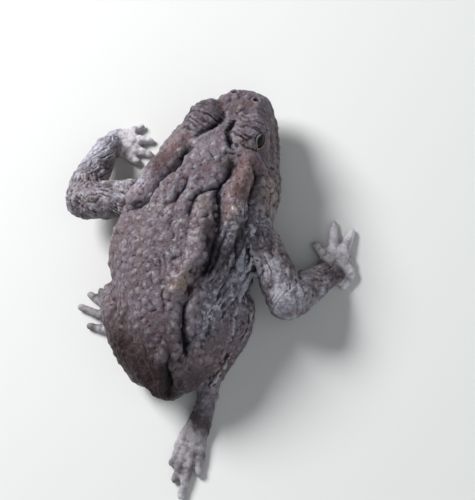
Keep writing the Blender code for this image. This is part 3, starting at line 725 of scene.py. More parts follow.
class Skin:
    """The skin while it is shaped: its points and outward directions in millimetres, and its marks."""

    def __init__(self, obj):
        self.obj = obj
        mesh = obj.data
        self.points = np.empty(len(mesh.vertices) * 3)
        mesh.vertices.foreach_get("co", self.points)
        self.points = self.points.reshape(-1, 3) / MM
        edges = np.empty(len(mesh.edges) * 2, np.int32)
        mesh.edges.foreach_get("vertices", edges)
        self.edges = edges.reshape(-1, 2)
        self.counts = np.bincount(self.edges.ravel(), minlength=len(self.points)).clip(1)
        self.marks = {}
        self.tree = None
        self.refresh()

    def refresh(self):
        """Moves the mesh to the points, and reads its directions."""
        mesh = self.obj.data
        mesh.vertices.foreach_set("co", (self.points * MM).ravel())
        mesh.update()
        self.normals = np.empty(len(mesh.vertices) * 3)
        mesh.vertex_normals.foreach_get("vector", self.normals)
        self.normals = self.normals.reshape(-1, 3)

    def push(self, lift):
        """Moves each point outwards by its lift."""
        self.points = self.points + self.normals * lift[:, None]
        self.refresh()

    def mark(self, name, values, idx=slice(None)):
        """Keeps the larger of an old and a new mark at all points, or at some."""
        kept = self.marks.setdefault(name, np.zeros(len(self.points)))
        kept[idx] = np.maximum(kept[idx], np.clip(values, 0, 1))

    def relaxed(self, values, rounds, weight=1.0):
        """Values of the points, each drawn some rounds towards the mean of its neighbours."""
        a, b = self.edges[:, 0], self.edges[:, 1]
        values = values.copy()
        count = len(values)
        for _ in range(rounds):
            for k in range(values.shape[1]):
                column = values[:, k]
                mean = (np.bincount(a, column[b], count) + np.bincount(b, column[a], count)) / self.counts
                values[:, k] = column + (mean - column) * weight
        return values

    def near(self, path, reach):
        """Which points lie in the box round a path."""
        path = np.array(path, float)[:, :3]
        low, high = path.min(0) - reach, path.max(0) + reach
        return np.nonzero(((self.points > low) & (self.points < high)).all(1))[0]

    def snapped(self, places):
        """The nearest places of the skin as it was before it was first shaped."""
        if self.tree is None:
            self.tree = BVHTree.FromObject(self.obj, bpy.context.evaluated_depsgraph_get())
        return np.array([tuple(self.tree.find_nearest(Vector(p[:3]) * MM)[0]) for p in places]) / MM

    def on_head(self, side, *places):
        """The nearest places of the skin to places on one side of the head."""
        return self.snapped([in_head(forward, side * aside, height) for forward, aside, height in places])


def base_skin(form):
    """The plain body as one even mesh, softened more on the trunk than on the digits."""
    obj = new_object("skin", toad_shells(form.web_share))
    remesh = obj.modifiers.new("even", "REMESH")
    remesh.mode = "VOXEL"
    remesh.voxel_size = form.grain
    skin = Skin(baked(obj))
    digits = np.minimum.reduce([thickness_share(skin.points, digit) for digit in DIGITS])
    firm = step_between(digits, 1.2, 2.2)
    trunk = step_between(trunk_share(skin.points), 1.22, 1.05)
    head = step_between(head_places(skin.points)[0], -2, 2)
    loose = np.clip(trunk + head, 0, 1)[:, None]
    skin.points = skin.relaxed(skin.points, 3, 0.5)
    soft = skin.relaxed(skin.points, 5, 0.6)
    skin.points += (soft - skin.points) * firm[:, None]
    soft = skin.relaxed(skin.points, 16, 0.6)
    skin.points += (soft - skin.points) * loose
    skin.refresh()
    fine = obj.modifiers.new("fine", "SUBSURF")
    fine.levels = fine.render_levels = 1
    return Skin(baked(obj))


def shape_regions(skin):
    """Marks for the limbs, digits and underside, which colours and warts follow."""
    points = skin.points
    outside = step_between(trunk_share(points), 1.02, 1.14)
    for rows in LIMBS.values():
        for name, mark in (
            ("upper_arm", "arm"), ("forearm", "arm"), ("palm", "arm"), ("thigh", "hind"), ("shank", "hind"),
            ("sole", "foot"),
        ):
            share = thickness_share(points, [row[:4] for row in rows[name]])
            skin.mark(mark, step_between(share, 1.55, 1.15) * outside)
        for name, mark in (("fingers", "arm"), ("toes", "foot")):
            for digit in rows[name]:
                share = step_between(thickness_share(points, digit), 1.6, 1.15)
                skin.mark("digit", share)
                skin.mark(mark, share)
    skin.mark("limb", np.maximum.reduce([skin.marks["arm"], skin.marks["hind"], skin.marks["foot"]]))
    skin.mark("head", step_between(head_places(points)[0], 0, 5))
    under = step_between(skin.normals[:, 2], -0.15, -0.75)
    skin.mark("belly", under * step_between(points[:, 2], 11, 5) * (1 - 0.3 * skin.marks["limb"]))


def shape_glands(skin, form):
    """The two long glands behind the eyes, with a soft shoulder all round."""
    lift = np.zeros(len(skin.points))
    for rows in GLANDS.values():
        path = smooth_rows(np.column_stack([skin.snapped(rows), np.array(rows)[:, 3]]))
        idx = skin.near(path, 8)
        places = skin.points[idx]
        share = thickness_share(places, path) * (1 + 0.12 * noise(places, 3.2, 3))
        dome = np.exp(-((share / 0.72) ** 2.2))
        lift[idx] += form.gland_height / MM * dome * (1 + 0.35 * noise(places, 3.8, 9))
        skin.mark("gland", step_between(share, 1.05, 0.6), idx)
    return skin.relaxed(lift[:, None], 40)[:, 0]


def across_path(skin, idx, path):
    """How far points lie right of a path over the skin and past its ends, and the share of its length."""
    distance, away, course, share = along_path(skin.points[idx], path)
    side = np.einsum("ij,ij->i", np.cross(course, skin.normals[idx]), away)
    return side, np.sqrt(np.maximum(distance**2 - side**2, 0)), share


def fold_lift(skin, idx, fold, path, seed):
    """Lift, furrow and roll of a fold: a soft valley with a broken crease, between edges of loose skin."""
    half_width, depth, crease, left_rise, right_rise = fold[:5]
    places = skin.points[idx]
    side, past, share = across_path(skin, idx, path)
    side = side + half_width * (0.38 * noise(places, 3.4, seed) + 0.14 * noise(places, 1.3, seed + 1))
    fade = bell(past, 1.4 * half_width) * step_between(share, -0.02, 0.2) * step_between(share, 1.02, 0.8)
    valley = bell(side, 0.62 * half_width) * (1 + 0.3 * noise(places, 4.0, seed + 2))
    broken = step_between(noise(places, 3.0, seed + 4), -0.45, 0.25)
    line = np.exp(-np.abs((side + 0.12 * half_width) / 0.34) ** 1.5) * broken
    left = left_rise * bell(side + 1.25 * half_width, 0.8 * half_width)
    right = right_rise * bell(side - 1.25 * half_width, 0.75 * half_width)
    lift = -depth * valley - crease * line + left + right
    furrow = np.clip(0.55 * valley + 0.6 * line, 0, 1)
    return lift * fade, furrow * fade, np.clip(left + right, 0, 1) * fade


def shape_folds(skin, form):
    """The furrows of the loose back skin, with the edges that roll over them."""
    lift = np.zeros(len(skin.points))
    for order, fold in enumerate(FOLDS):
        path = smooth_rows(skin.snapped(fold[-1]), 4)
        idx = skin.near(path, 4 * fold[0])
        rise, furrow, roll = fold_lift(skin, idx, fold, path, 20 + 5 * order)
        lift[idx] += rise * form.fold_depth
        skin.mark("furrow", furrow, idx)
        skin.mark("roll", roll, idx)
    return lift


def shape_edges(skin):
    """Thin broken ridges of loose skin, which catch the light; their mark gets a pale tint that is partly
    the old skin's own and partly painted highlight.
    """
    lift = np.zeros(len(skin.points))
    for order, places in enumerate(EDGES):
        path = smooth_rows(skin.snapped(places), 4)
        idx = skin.near(path, 3)
        points = skin.points[idx]
        side, past, share = across_path(skin, idx, path)
        side = side + 0.5 * noise(points, 1.6, 130 + order) + 0.3 * noise(points, 0.7, 140 + order)
        broken = step_between(noise(points, 1.3, 150 + order), -0.7, 0.0)
        ends = step_between(share, 0, 0.15) * step_between(share, 1, 0.85) * bell(past, 1.2)
        thin = bell(side, 0.22) * broken * ends
        lift[idx] += 0.46 * thin - 0.35 * bell(side - 0.75, 0.4) * ends
        skin.mark("edge", thin, idx)
    return lift


def round_trunk(points):
    """How far round the trunk each point lies from its highest line, and how far along it."""
    x, z = trunk_at(points, 0, 2)
    return np.arctan2(points[:, 0] - x, points[:, 2] - z) * TRUNK_RADIUS, points[:, 1]


def drawn_out(across, along, spacing, length, seed):
    """Rounded ridges with sharp hollows between them, drawn out along one way."""
    rows = np.column_stack([across, along, 0 * across])
    bent = across + 0.9 * spacing * noise(rows, (3 * spacing, 0.5 * length, 1), seed)
    rows = np.column_stack([bent, along, 0 * across])
    first = noise(rows, (spacing, length, 1), seed + 1)
    second = noise(rows, (0.55 * spacing, 0.6 * length, 1), seed + 2)
    return (2.4 * np.abs(first) - 0.8) * 0.7 + (2.4 * np.abs(second) - 0.8) * 0.35


def shape_wrinkles(skin):
    """Finer wrinkles of the flanks, the rump, the arms and the skin above the hind legs."""
    points = skin.points
    limb, head, arm = skin.marks["limb"], skin.marks["head"], skin.marks["arm"]
    trunk = (1 - limb) * (1 - head)
    round_it, along = round_trunk(points)
    right = step_between(round_it, 9, 13) * step_between(along, 14, 8) * trunk
    left = step_between(-round_it, 13, 17) * step_between(along, 16, 10) * trunk
    skin.mark("flank", right)
    middle = step_between(points[:, 2], 3, 7)
    patchy = 0.6 + 0.6 * noise(points, (5, 7, 5), 60)
    ridges = drawn_out(round_it, along, 1.9, 9.0, 61)
    # The hollows between the flank ridges, marked for painted shade
    skin.mark("groove", right * middle * step_between(ridges, *GROOVE))
    lift = 0.45 * right * middle * patchy * ridges
    lift += 0.13 * left * middle * patchy * drawn_out(round_it, along, 2.0, 6.0, 66)
    broad = trunk * step_between(points[:, 2], 6, 10)
    lift += 0.18 * broad * drawn_out(round_it + 0.2 * along, along, 4.2, 13.0, 71)
    rump = step_between(along, -20, -28) * (1 - 0.4 * limb)
    lift += 0.22 * rump * drawn_out(round_it, along, 2.3, 5.0, 76)
    joint = step_between(np.abs(trunk_share(points) - 1.12), 0.16, 0.03) * limb
    lift += 0.2 * joint * noise(points, (1.2, 1.2, 5.0), 81)
    for side, spacing, lean in (("left", 1.3, 0.5), ("right", 1.9, 0.3)):
        for name in ("upper_arm", "forearm"):
            rows = LIMBS[side][name]
            share = step_between(thickness_share(points, rows), 1.5, 1.15) * arm
            idx = np.nonzero(share > 0)[0]
            _, away, course, part = along_path(points[idx], rows)
            length = path_length(rows)
            sideways = np.cross(course, (0.0, 0.0, 1.0))
            angle = np.arctan2(away[:, 2], np.einsum("ij,ij->i", away, sideways)) * ARM_RADIUS
            ridges = drawn_out(angle + lean * part * length, part * length, spacing, 5.0, 84)
            lift[idx] += 0.24 * share[idx] * ridges * (0.7 + 0.5 * noise(points[idx], 2.6, 88))
            # The hollows between the arm ridges, marked for painted shade
            skin.mark("groove", share[idx] * step_between(ridges, *GROOVE), idx)
    return lift


def spread_places(skin, spacing, weight, seed, tries):
    """Indexes of points drawn at random that keep a spacing which grows where the weight is small."""
    draw = np.random.RandomState(seed)
    order = draw.choice(len(skin.points), min(tries, len(skin.points)), replace=False)
    chance = draw.rand(len(order))
    cells, chosen = {}, []
    for i, luck in zip(order, chance):
        if luck > weight[i]:
            continue
        place = skin.points[i]
        cell = tuple((place // spacing).astype(int))
        near = (
            cells.get((cell[0] + a, cell[1] + b, cell[2] + c), ())
            for a, b, c in itertools.product((-1, 0, 1), repeat=3)
        )
        if all(sum((place - other) ** 2) > spacing**2 for group in near for other in group):
            cells.setdefault(cell, []).append(place)
            chosen.append(i)
    return chosen, draw


def raise_warts(skin, tree, places, radii, heights, roundness, wobble):
    """Lift and mark of warts: uneven domes with a soft foot, the rounder the higher the roundness."""
    lift = np.zeros(len(skin.points))
    mark = np.zeros(len(skin.points))
    for place, radius, height in zip(places, radii, heights):
        found = tree.find_range(Vector(place), radius * 1.5)
        if not found:
            continue
        _, idx, distance = zip(*found)
        idx = np.array(idx)
        share = np.array(distance) / radius * wobble[idx]
        dome = np.clip(1 - (share / 1.4) ** roundness, 0, 1) ** 2
        lift[idx] = np.maximum(lift[idx], height * dome)
        mark[idx] = np.maximum(mark[idx], dome)
    return lift, mark


def shape_warts(skin, form):
    """Warts of four sizes, densest on the back, small on the head and pointed on the limbs."""
    points = skin.points
    tree = KDTree(len(points))
    for i, place in enumerate(points):
        tree.insert(place, i)
    tree.balance()
    for side in (1, -1):
        skin.mark("lid", step_between(orbit_share(points, side), 1.35, 1.05))
    marks = skin.marks
    limb, head = marks["limb"], marks["head"]
    up = step_between(skin.normals[:, 2], -0.35, 0.15)
    bare = (1 - marks["lid"]) * (1 - 0.85 * marks["gland"]) * (1 - np.clip(1.2 * marks["furrow"], 0, 1))
    bare = bare * (1 - 0.75 * marks["roll"])
    round_it, along = round_trunk(points)
    folded = step_between(round_it, 8, 12) * step_between(along, 6, 2) * (1 - limb)
    neck = step_between(along, 8, 16)
    rump = step_between(along, -18, -26)
    back = up * bare * (1 - limb) * (1 - 0.7 * folded) * (1 - 0.6 * rump) * (1 - 0.35 * neck)
    arms = up * np.maximum(marks["arm"], marks["foot"]) * (1 - marks["digit"])
    legs = up * marks["hind"]
    # Spacing, radii, tallness, roundness, how likely they are, how many are tried, strength of their mark
    kinds = [
        (4.4, (0.95, 1.35), 0.72, 2.2, 0.8 * back * (1 - head), 9000, 1.0),
        (2.05, (0.6, 1.0), 1.0, 2.0, back * (1 - 0.75 * head) + 0.25 * legs, 30000, 1.0),
        (1.3, (0.32, 0.5), 0.7, 2.0, np.clip(0.5 * back + 0.5 * arms + 0.5 * legs, 0, 1), 26000, 0.6),
        (2.3, (0.45, 0.75), 1.0, 1.8, 0.8 * arms + 0.4 * legs, 16000, 1.0),
    ]
    wobble = 1 + 0.26 * noise(points, 1.4, 40) + 0.12 * noise(points, 0.7, 41)
    lift = np.zeros(len(points))
    for order, (spacing, sizes, tall, roundness, likely, tries, strength) in enumerate(kinds):
        chosen, draw = spread_places(skin, spacing, likely, form.wart_seed + order, tries)
        radii = draw.uniform(*sizes, len(chosen))
        heights = radii * form.wart_height * tall * draw.uniform(0.5, 1.3, len(chosen))
        raised, mark = raise_warts(skin, tree, points[chosen], radii, heights, roundness, wobble)
        lift = np.maximum(lift, raised) + 0.25 * np.minimum(lift, raised)
        skin.mark("wart", mark * strength)
    radii = np.array(PALE_WARTS)[:, 3]
    raised, mark = raise_warts(skin, tree, skin.snapped(PALE_WARTS), radii, radii * 0.30, 2.2, wobble)
    skin.mark("wart", mark)
    skin.mark("pale_wart", mark)
    return np.maximum(lift, raised)


def shape_grain(skin):
    """Uneven lumps and fine grain between the warts."""
    points = skin.points
    digit, belly = skin.marks["digit"], skin.marks["belly"]
    rough = (1 - 0.75 * digit) * (1 - 0.6 * belly)
    lumps = 0.22 * noise(points, 3.6, 80) * (1 - digit)
    middling = 0.13 * noise(points, 1.5, 81)
    fine = 0.055 * noise(points, 0.72, 82) + 0.03 * noise(points, 0.45, 83)
    return lumps + (middling + fine) * rough


def mouth_path():
    """The line of the mouth, from the right corner round the snout to the left corner."""
    table = np.array(HEAD)
    half = []
    for forward in np.linspace(0.5, 20.4, 11):
        height, half_width = (np.interp(forward, table[:, 0], table[:, k]) for k in (1, 2))
        half.append((forward, half_width, height - 1.6 + 0.03 * forward))
    half += [(22.0, 4.8, 9.6), (23.2, 1.7, 9.7)]
    return [in_head(f, a, h) for f, a, h in half] + [in_head(f, -a, h) for f, a, h in half[::-1]]


def shape_face(skin):
    """Lips, nostrils, eardrums and the ridges from eye to snout, with the wrinkles of the lids."""
    points = skin.points
    lift = np.zeros(len(points))
    path = smooth_rows(skin.snapped(mouth_path()), 3)
    idx = skin.near(path, 4)
    distance, away, _, share = along_path(points[idx], path)
    inside = step_between(share, -0.01, 0.03) * step_between(share, 1.01, 0.97)
    line = bell(distance, 0.34)
    upper = bell(away[:, 2] - 1.25, 0.75) * (np.abs(away[:, 2]) < 3.5)
    lower = bell(away[:, 2] + 1.1, 0.6)
    lift[idx] += inside * (-0.85 * line + (0.42 * upper + 0.2 * lower) * step_between(distance, 3.4, 2.2))
    skin.mark("mouth", line * inside, idx)
    forward, aside, height = head_places(points)
    for side in (1, -1):
        out = side * aside
        ridge = skin.on_head(side, (14.2, 6.4, 18.8), (17.6, 4.8, 17.6), (20.6, 3.5, 15.8))
        lift += 0.55 * bell(along_path(points, ridge)[0], 1.3)
        nostril = np.linalg.norm(points - skin.on_head(side, (20.4, 3.0, 16.2))[0], axis=1)
        lift += 0.28 * bell(nostril - 0.95, 0.38) - 1.2 * bell(nostril, 0.48)
        skin.mark("mouth", bell(nostril, 0.48))
        drum = np.linalg.norm(points - skin.on_head(side, (2.8, 13.4, 15.0))[0], axis=1)
        lift += 0.22 * bell(drum - 2.6, 0.5) - 0.34 * bell(drum - 1.95, 0.34)
        lift += 0.14 * bell(drum, 1.2)
        skin.mark("drum", step_between(drum, 2.1, 1.6))
        lid = step_between(orbit_share(points, side), 1.32, 1.0) * step_between(height, 18.0, 20.2)
        bend = forward + 0.02 * (out - 7) ** 2 + 0.45 * noise(points, 2.2, 92)
        ridges = drawn_out(bend, out, 1.2, 4.6, 90 + side)
        lift += 0.38 * lid * ridges
        # The hollows between the lid ridges, marked for painted shade
        skin.mark("groove", lid * step_between(ridges, -0.35, -0.75))
        lift += 0.12 * lid * noise(points, 0.8, 93)
        corner = skin.on_head(side, (12.8, 9.4, 18.2), (15.4, 7.6, 18.2))
        lift -= 0.45 * bell(along_path(points, corner)[0], 0.5)
        bag = bell(height - 13.6 - 0.04 * (forward - 10) ** 2, 0.9)
        lift += 0.30 * bag * step_between(out, 7, 9) * step_between(np.abs(forward - 10), 6, 4)
    return lift


def shape_digits(skin):
    """Joint creases and soft pads along the fingers and toes."""
    lift = np.zeros(len(skin.points))
    for digit in DIGITS:
        path = smooth_rows(digit, 4)
        idx = skin.near(path, 2.4)
        distance, away, _, share = along_path(skin.points[idx], path)
        length = path_length(path)
        count = 2 if length < 7 else 3
        joints = sum(bell((share - (k + 1) / (count + 0.6)) * length, 0.45) for k in range(count))
        here = step_between(distance, 2.3, 1.6)
        below = step_between(-away[:, 2], -0.2, 0.5)
        lift[idx] += here * (-0.11 * joints * (1 - below) + 0.14 * joints * below)
        lift[idx] += here * 0.06 * noise(skin.points[idx], 0.8, 95)
    return lift


def open_eyes(skin, radius):
    """Opens the skin over each eyeball between an upper and a lower lid with rolled edges."""
    spread, above, below = EYE_OPENING
    for side in (1, -1):
        centre = eye_middle(side)
        forward, out = head_ways(side)
        idx = skin.near([centre], 8)
        off = skin.points[idx] - centre
        reach = np.linalg.norm(off, axis=1)
        u, v, w = off @ forward / reach, off[:, 2] / reach, off @ out / reach
        turn = np.abs(np.degrees(np.arctan2(u, w)) + 2)
        rise = np.degrees(np.arcsin(np.clip(v, -1, 1)))
        width = np.clip(1 - (turn / spread) ** 2.2, 0, 1)
        outside = np.maximum(rise - above * width**0.7, -below * width**0.8 - rise)
        outside = np.where(width <= 0, np.maximum(outside, (turn - spread) * 0.8), outside)
        front = step_between(w, -0.05, 0.2)
        opened = step_between(outside, 1.2, -2.2) * front
        margin = bell(outside - 4.5, 3.2) * front
        second = bell(outside - 14.0, 3.6) * front * (rise < 5)
        crease = bell(outside - 9.5, 2.2) * front
        target = np.maximum(reach, radius + 0.5) + 0.30 * margin + 0.2 * second - 0.25 * crease
        blend = step_between(reach, radius + 4.6, radius + 2.0) * front * step_between(outside, 24, 10)
        new = reach + (target - reach) * blend
        new = new + (radius - 1.1 - new) * opened
        skin.points[idx] = centre + off * (new / reach)[:, None]
        skin.mark("rim", bell(outside - 2.8, 2.2) * blend * (1 - opened), idx)
    skin.refresh()


def mark_hollows(skin):
    """Marks how far each point lies under the skin round it, near by and further off, where the finish
    paints shade.
    """
    near = skin.relaxed(skin.points, 8, 0.7)
    far = skin.relaxed(near, 60, 0.9)
    for name, smooth, scale in (("cavity", near, 0.07), ("hollow", far, 0.55)):
        depth = np.einsum("ij,ij->i", smooth - skin.points, skin.normals) / scale
        skin.marks[name] = np.clip(0.5 + 0.5 * depth, 0, 1)


def mark_patches(skin):
    """Marks for the coloured patches."""
    wobble = 1 + 0.4 * noise(skin.points, 2.2, 100) + 0.25 * noise(skin.points, 0.9, 101)
    for name, patches in PATCHES.items():
        for x, y, z, radius, strength in patches:
            distance = np.linalg.norm(skin.points - (x, y, z), axis=1) * wobble
            skin.mark(name, strength * step_between(distance, radius * 1.25, radius * 0.3))
    skin.mark("pale", 0.95 * skin.marks["pale_wart"] * step_between(noise(skin.points, 1.6, 103), -0.7, 0.1))


def solid_shift():
    """How far the drawn places lie from the finished ones, from the middle of the right eye."""
    low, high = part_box("eye_right")
    shift = (low + high) / 2 - Vector(in_head(*EYE_PLACE)) * MM
    return Vector((shift.x, shift.y, 0))


def flank_lift(skin):
    """Lift of the left flank, which bags outwards behind the arm."""
    points = skin.points
    across = points[:, 0] - trunk_at(points, 0)[0]
    flank = step_between(-across, 11, 16) * bell(points[:, 1] + 2, 9)
    return 1.2 * flank * (1 - skin.marks["limb"]) * step_between(points[:, 2], 2, 7)


def store_marks(obj, marks):
    """Stores marks of the points on the mesh, where a finish can read them."""
    for name, values in marks.items():
        layer = obj.data.attributes.new(name, "FLOAT", "POINT")
        layer.data.foreach_set("value", values.astype(np.float32))


def make_skin(form):
    """The whole skin, shaped from the large forms to the small, with its marks stored on the mesh."""
    skin = base_skin(form)
    shape_regions(skin)
    skin.push(shape_glands(skin, form) + shape_folds(skin, form) + flank_lift(skin))
    skin.push(shape_face(skin) + shape_wrinkles(skin) + shape_edges(skin))
    skin.push(shape_warts(skin, form) + shape_grain(skin) + shape_digits(skin))
    open_eyes(skin, EYE_RADIUS)
    skin.points[:, 2] = np.maximum(skin.points[:, 2], FLOOR_GAP)
    skin.refresh()
    mark_hollows(skin)
    mark_patches(skin)
    obj = skin.obj
    store_marks(obj, {name: skin.marks[name] for name in SKIN_MARKS})
    obj.data.transform(Matrix.Translation(solid_shift()))
    obj.data.shade_smooth()
    return obj


class Value:
    """A socket that works in plain arithmetic; each step adds the Math node that it needs."""

    def __init__(self, finish, socket):
        self.finish, self.socket = finish, socket

    def math(self, operation, first, second, clamp=False):
        """The value of a Math node of two numbers."""
        settings = {"operation": operation, "use_clamp": clamp}
        return self.finish.node("ShaderNodeMath", settings, {0: first, 1: second})

    def __add__(self, other):
        return self.math("ADD", self, other)

    def __sub__(self, other):
        return self.math("SUBTRACT", self, other)

    def __rsub__(self, other):
        return self.math("SUBTRACT", other, self)

    def __mul__(self, other):
        return self.math("MULTIPLY", self, other)

    def __truediv__(self, other):
        return self.math("DIVIDE", self, other)

    def __pow__(self, other):
        return self.math("POWER", self, other)

    __radd__, __rmul__ = __add__, __mul__

    def limited(self):
        """The value held between 0 and 1."""
        return self.math("ADD", self, 0.0, True)

    def between(self, low, high):
        """0 at low and 1 at high, with a soft rise between them."""
        settings = {"interpolation_type": "SMOOTHSTEP"}
        return self.finish.node("ShaderNodeMapRange", settings, {"Value": self, 1: low, 2: high})


class Finish:
    """A material whose nodes are made by one method and joined by expressions."""

    def __init__(self, name):
        self.material = bpy.data.materials.new(name)
        self.material.use_nodes = True
        self.nodes = self.material.node_tree.nodes
        self.links = self.material.node_tree.links
        self.shader = self.nodes["Principled BSDF"]

    def node(self, kind, settings=None, values=None, out=0):
        """Adds a node with its settings and inputs, and gives one of its outputs."""
        made = self.nodes.new(kind)
        for key, value in (settings or {}).items():
            setattr(made, key, value)
        for key, value in (values or {}).items():
            self.give(made.inputs[key], value)
        return Value(self, made.outputs[out])

    def give(self, socket, value):
        """Joins a socket to a value, or sets it to a number or a colour."""
        if isinstance(value, Value):
            self.links.new(value.socket, socket)
        elif isinstance(value, (int, float)):
            socket.default_value = value
        else:
            wanted = len(socket.default_value)
            socket.default_value = (*value, 1.0)[:wanted]

    def set(self, inputs):
        """Gives the shader its inputs."""
        for name, value in inputs.items():
            self.give(self.shader.inputs[name], value)

    def mark(self, name):
        """A mark stored on the mesh."""
        return self.node("ShaderNodeAttribute", {"attribute_name": name}, out="Fac")

    def mix(self, first, second, share):
        """The first colour, with this share of the second."""
        return self.node("ShaderNodeMix", {"data_type": "RGBA"}, {0: share, 6: first, 7: second}, out=2)

    def layers(self, colour, *layers):
        """A colour under layers of other colours, each with its share."""
        for tint, share in layers:
            colour = self.mix(colour, tint, share)
        return colour

    def noise(self, place, size, detail=2.0, roughness=0.55, shift=0.0):
        """Noise whose lumps have about this size in metres."""
        values = {"Vector": place, "W": shift, "Scale": 1 / size, "Detail": detail, "Roughness": roughness}
        return self.node("ShaderNodeTexNoise", {"noise_dimensions": "4D"}, values)

    def cells(self, place, size, feature="F1"):
        """Distance from the nearest of points about this far apart, in metres."""
        return self.node("ShaderNodeTexVoronoi", {"feature": feature}, {"Vector": place, "Scale": 1 / size})

    def bump(self, height, distance):
        """Directions of a surface raised by the height times the distance."""
        return self.node("ShaderNodeBump", {}, {"Height": height, "Distance": distance, "Strength": 1.0})


def skin_finish(colours):
    """Toad skin: clouded violet brown with pale worn places and pored glands, painted shade in its furrows,
    grooves and hollows, and painted highlights on its bump tops and loose edges.
    """
    finish = Finish("toad_skin")
    place = finish.node("ShaderNodeTexCoord", out="Object")
    clouds = finish.noise(place, 0.0075, 4.0, 0.62)
    drift = finish.noise(place, 0.0032, 4.0, 0.6, 2.0)
    mottle = finish.noise(place, 0.0012, 3.0, 0.6, 5.0)
    specks = finish.noise(place, 0.00045, 2.0, 0.6, 9.0)
    mark = {name: finish.mark(name) for name in SKIN_MARKS}
    arm = finish.layers(
        colours.limb,
        (colours.back, drift.between(0.42, 0.52) * 0.85),
        (colours.dark, drift.between(0.52, 0.62) * 0.70),
        (colours.frost, drift.between(0.46, 0.36) * 0.55),
        (colours.pale, mottle.between(0.52, 0.66) * 0.5),
    )
    foot = finish.mix(colours.limb, colours.back, 0.35 + 0.5 * drift.between(0.44, 0.66))
    belly = finish.mix(colours.belly, colours.slate, clouds.between(0.48, 0.60) * 0.75)
    tips = mark["wart"].between(0.35, 0.95)
    flank_blotches_and_sheen = mark["flank"] * (1.0 - mark["frost"] * 0.5)
    light = 1.0 - mark["dark"]
    plain = 1.0 - mark["digit"] * 0.8
    pores = finish.cells(place, 0.0013).between(0.20, 0.08) * mark["gland"].between(0.3, 0.8)
    colour = finish.layers(
        colours.back,
        (colours.brown, clouds.between(0.42, 0.66) * 0.8),
        (colours.slate, drift.between(0.50, 0.72) * 0.65),
        (arm, mark["arm"] * 0.95),
        (foot, mark["foot"] * 0.9),
        (colours.digit, mark["digit"] * (0.9 - 0.5 * drift.between(0.46, 0.62))),
        (belly, mark["belly"] * 0.9),
        (colours.red, mark["gland"] * (0.45 + 0.4 * drift.between(0.40, 0.62))),
        (colours.red, mark["red"] * 0.8),
        (colours.tan, mark["tan"] * (0.35 + 0.6 * mottle.between(0.38, 0.60))),
        (colours.pale, mark["pale"] * (0.3 + 0.6 * mottle.between(0.36, 0.60))),
        (colours.pale, tips * drift.between(0.44, 0.62) * 0.12),
        (colours.red, tips * clouds.between(0.48, 0.62) * 0.30),
        (colours.pale, mark["rim"] * 0.20),
        (colours.brown, mark["drum"] * 0.6),
        # The right flank's slate and dark blotches, and pale mottles that are partly painted highlight
        (colours.slate, flank_blotches_and_sheen * 0.6),
        (colours.shade, flank_blotches_and_sheen * clouds.between(0.48, 0.62) * 0.45),
        (colours.frost, flank_blotches_and_sheen * mottle.between(0.44, 0.66) * 0.85),
        # A faint tan on the rolled edges of the folds, partly the skin's own tan and partly painted sheen
        (colours.tan, mark["roll"] * (0.5 + 0.5 * drift.between(0.40, 0.60)) * 0.14),
        (colours.frost, mark["frost"] * (0.35 + 0.65 * mottle.between(0.36, 0.58))),
        # Dark patches: partly the toad's own blotches, partly painted shade on the rump and beside the
        # furrows
        (colours.dark, mark["dark"] * (0.84 + 0.14 * drift.between(0.38, 0.60))),
        (colours.dark, specks.between(0.56, 0.72) * 0.42),
        (colours.pale, specks.between(0.40, 0.28) * light * 0.12),
        (colours.dark, pores * 0.9),
        # Painted shade: reddish brown in the shallower hollows between warts, brownish black in the deeper
        # ones and blue black in the wider hollows
        (colours.red, mark["cavity"].between(0.50, 0.72) * plain * 0.45),
        (colours.dark, mark["cavity"].between(0.60, 0.95) * plain * 0.8),
        (colours.shade, mark["hollow"].between(0.54, 0.95) * plain * 0.70),
        # Painted highlight: bluish grey on the tops of the bumps
        (colours.frost, mark["cavity"].between(0.46, 0.10) * light * 0.16),
        # Painted shade in the wrinkle grooves and in the furrows
        (colours.dark, mark["groove"] * (0.80 - 0.40 * mark["arm"] - 0.25 * mark["lid"])),
        (colours.shade, mark["furrow"] * 0.66),
        # The thin edges of loose skin: partly pale old skin, partly painted highlight
        (colours.digit, mark["edge"] * 0.55),
        # Painted shade in the crease of the mouth and in the nostrils
        (colours.dark, mark["mouth"] * 0.85),
    )
    moist = drift.between(0.42, 0.60) * 0.40 + mark["flank"] * 0.35 + mark["roll"] * 0.15 + 0.04
    small = finish.cells(place, 0.00062, "SMOOTH_F1")
    tiny = finish.noise(place, 0.00026, 3.0, 0.65, 13.0)
    pits = finish.noise(place, 0.00055, 2.0, 0.5, 17.0)
    soft = 1.0 - 0.6 * mark["digit"]
    height = ((1 - small) * 0.7 + tiny * 0.7 - pits.between(0.56, 0.72) * 0.8) * soft - pores * 1.2
    finish.set({
        "Base Color": colour,
        "Roughness": (0.62 + (mottle - 0.5) * 0.30).limited(),
        "Coat Weight": (moist * (1.0 - mark["dark"] * 0.85)).limited(),
        "Coat Roughness": 0.28,
        "Coat IOR": 1.36,
        "Normal": finish.bump(height, 0.00024),
        "Specular IOR Level": 0.12,
        "Subsurface Weight": 0.04,
        "Subsurface Radius": (0.0012, 0.0006, 0.0004),
        "Subsurface Scale": 1.0,
    })
    return finish.material


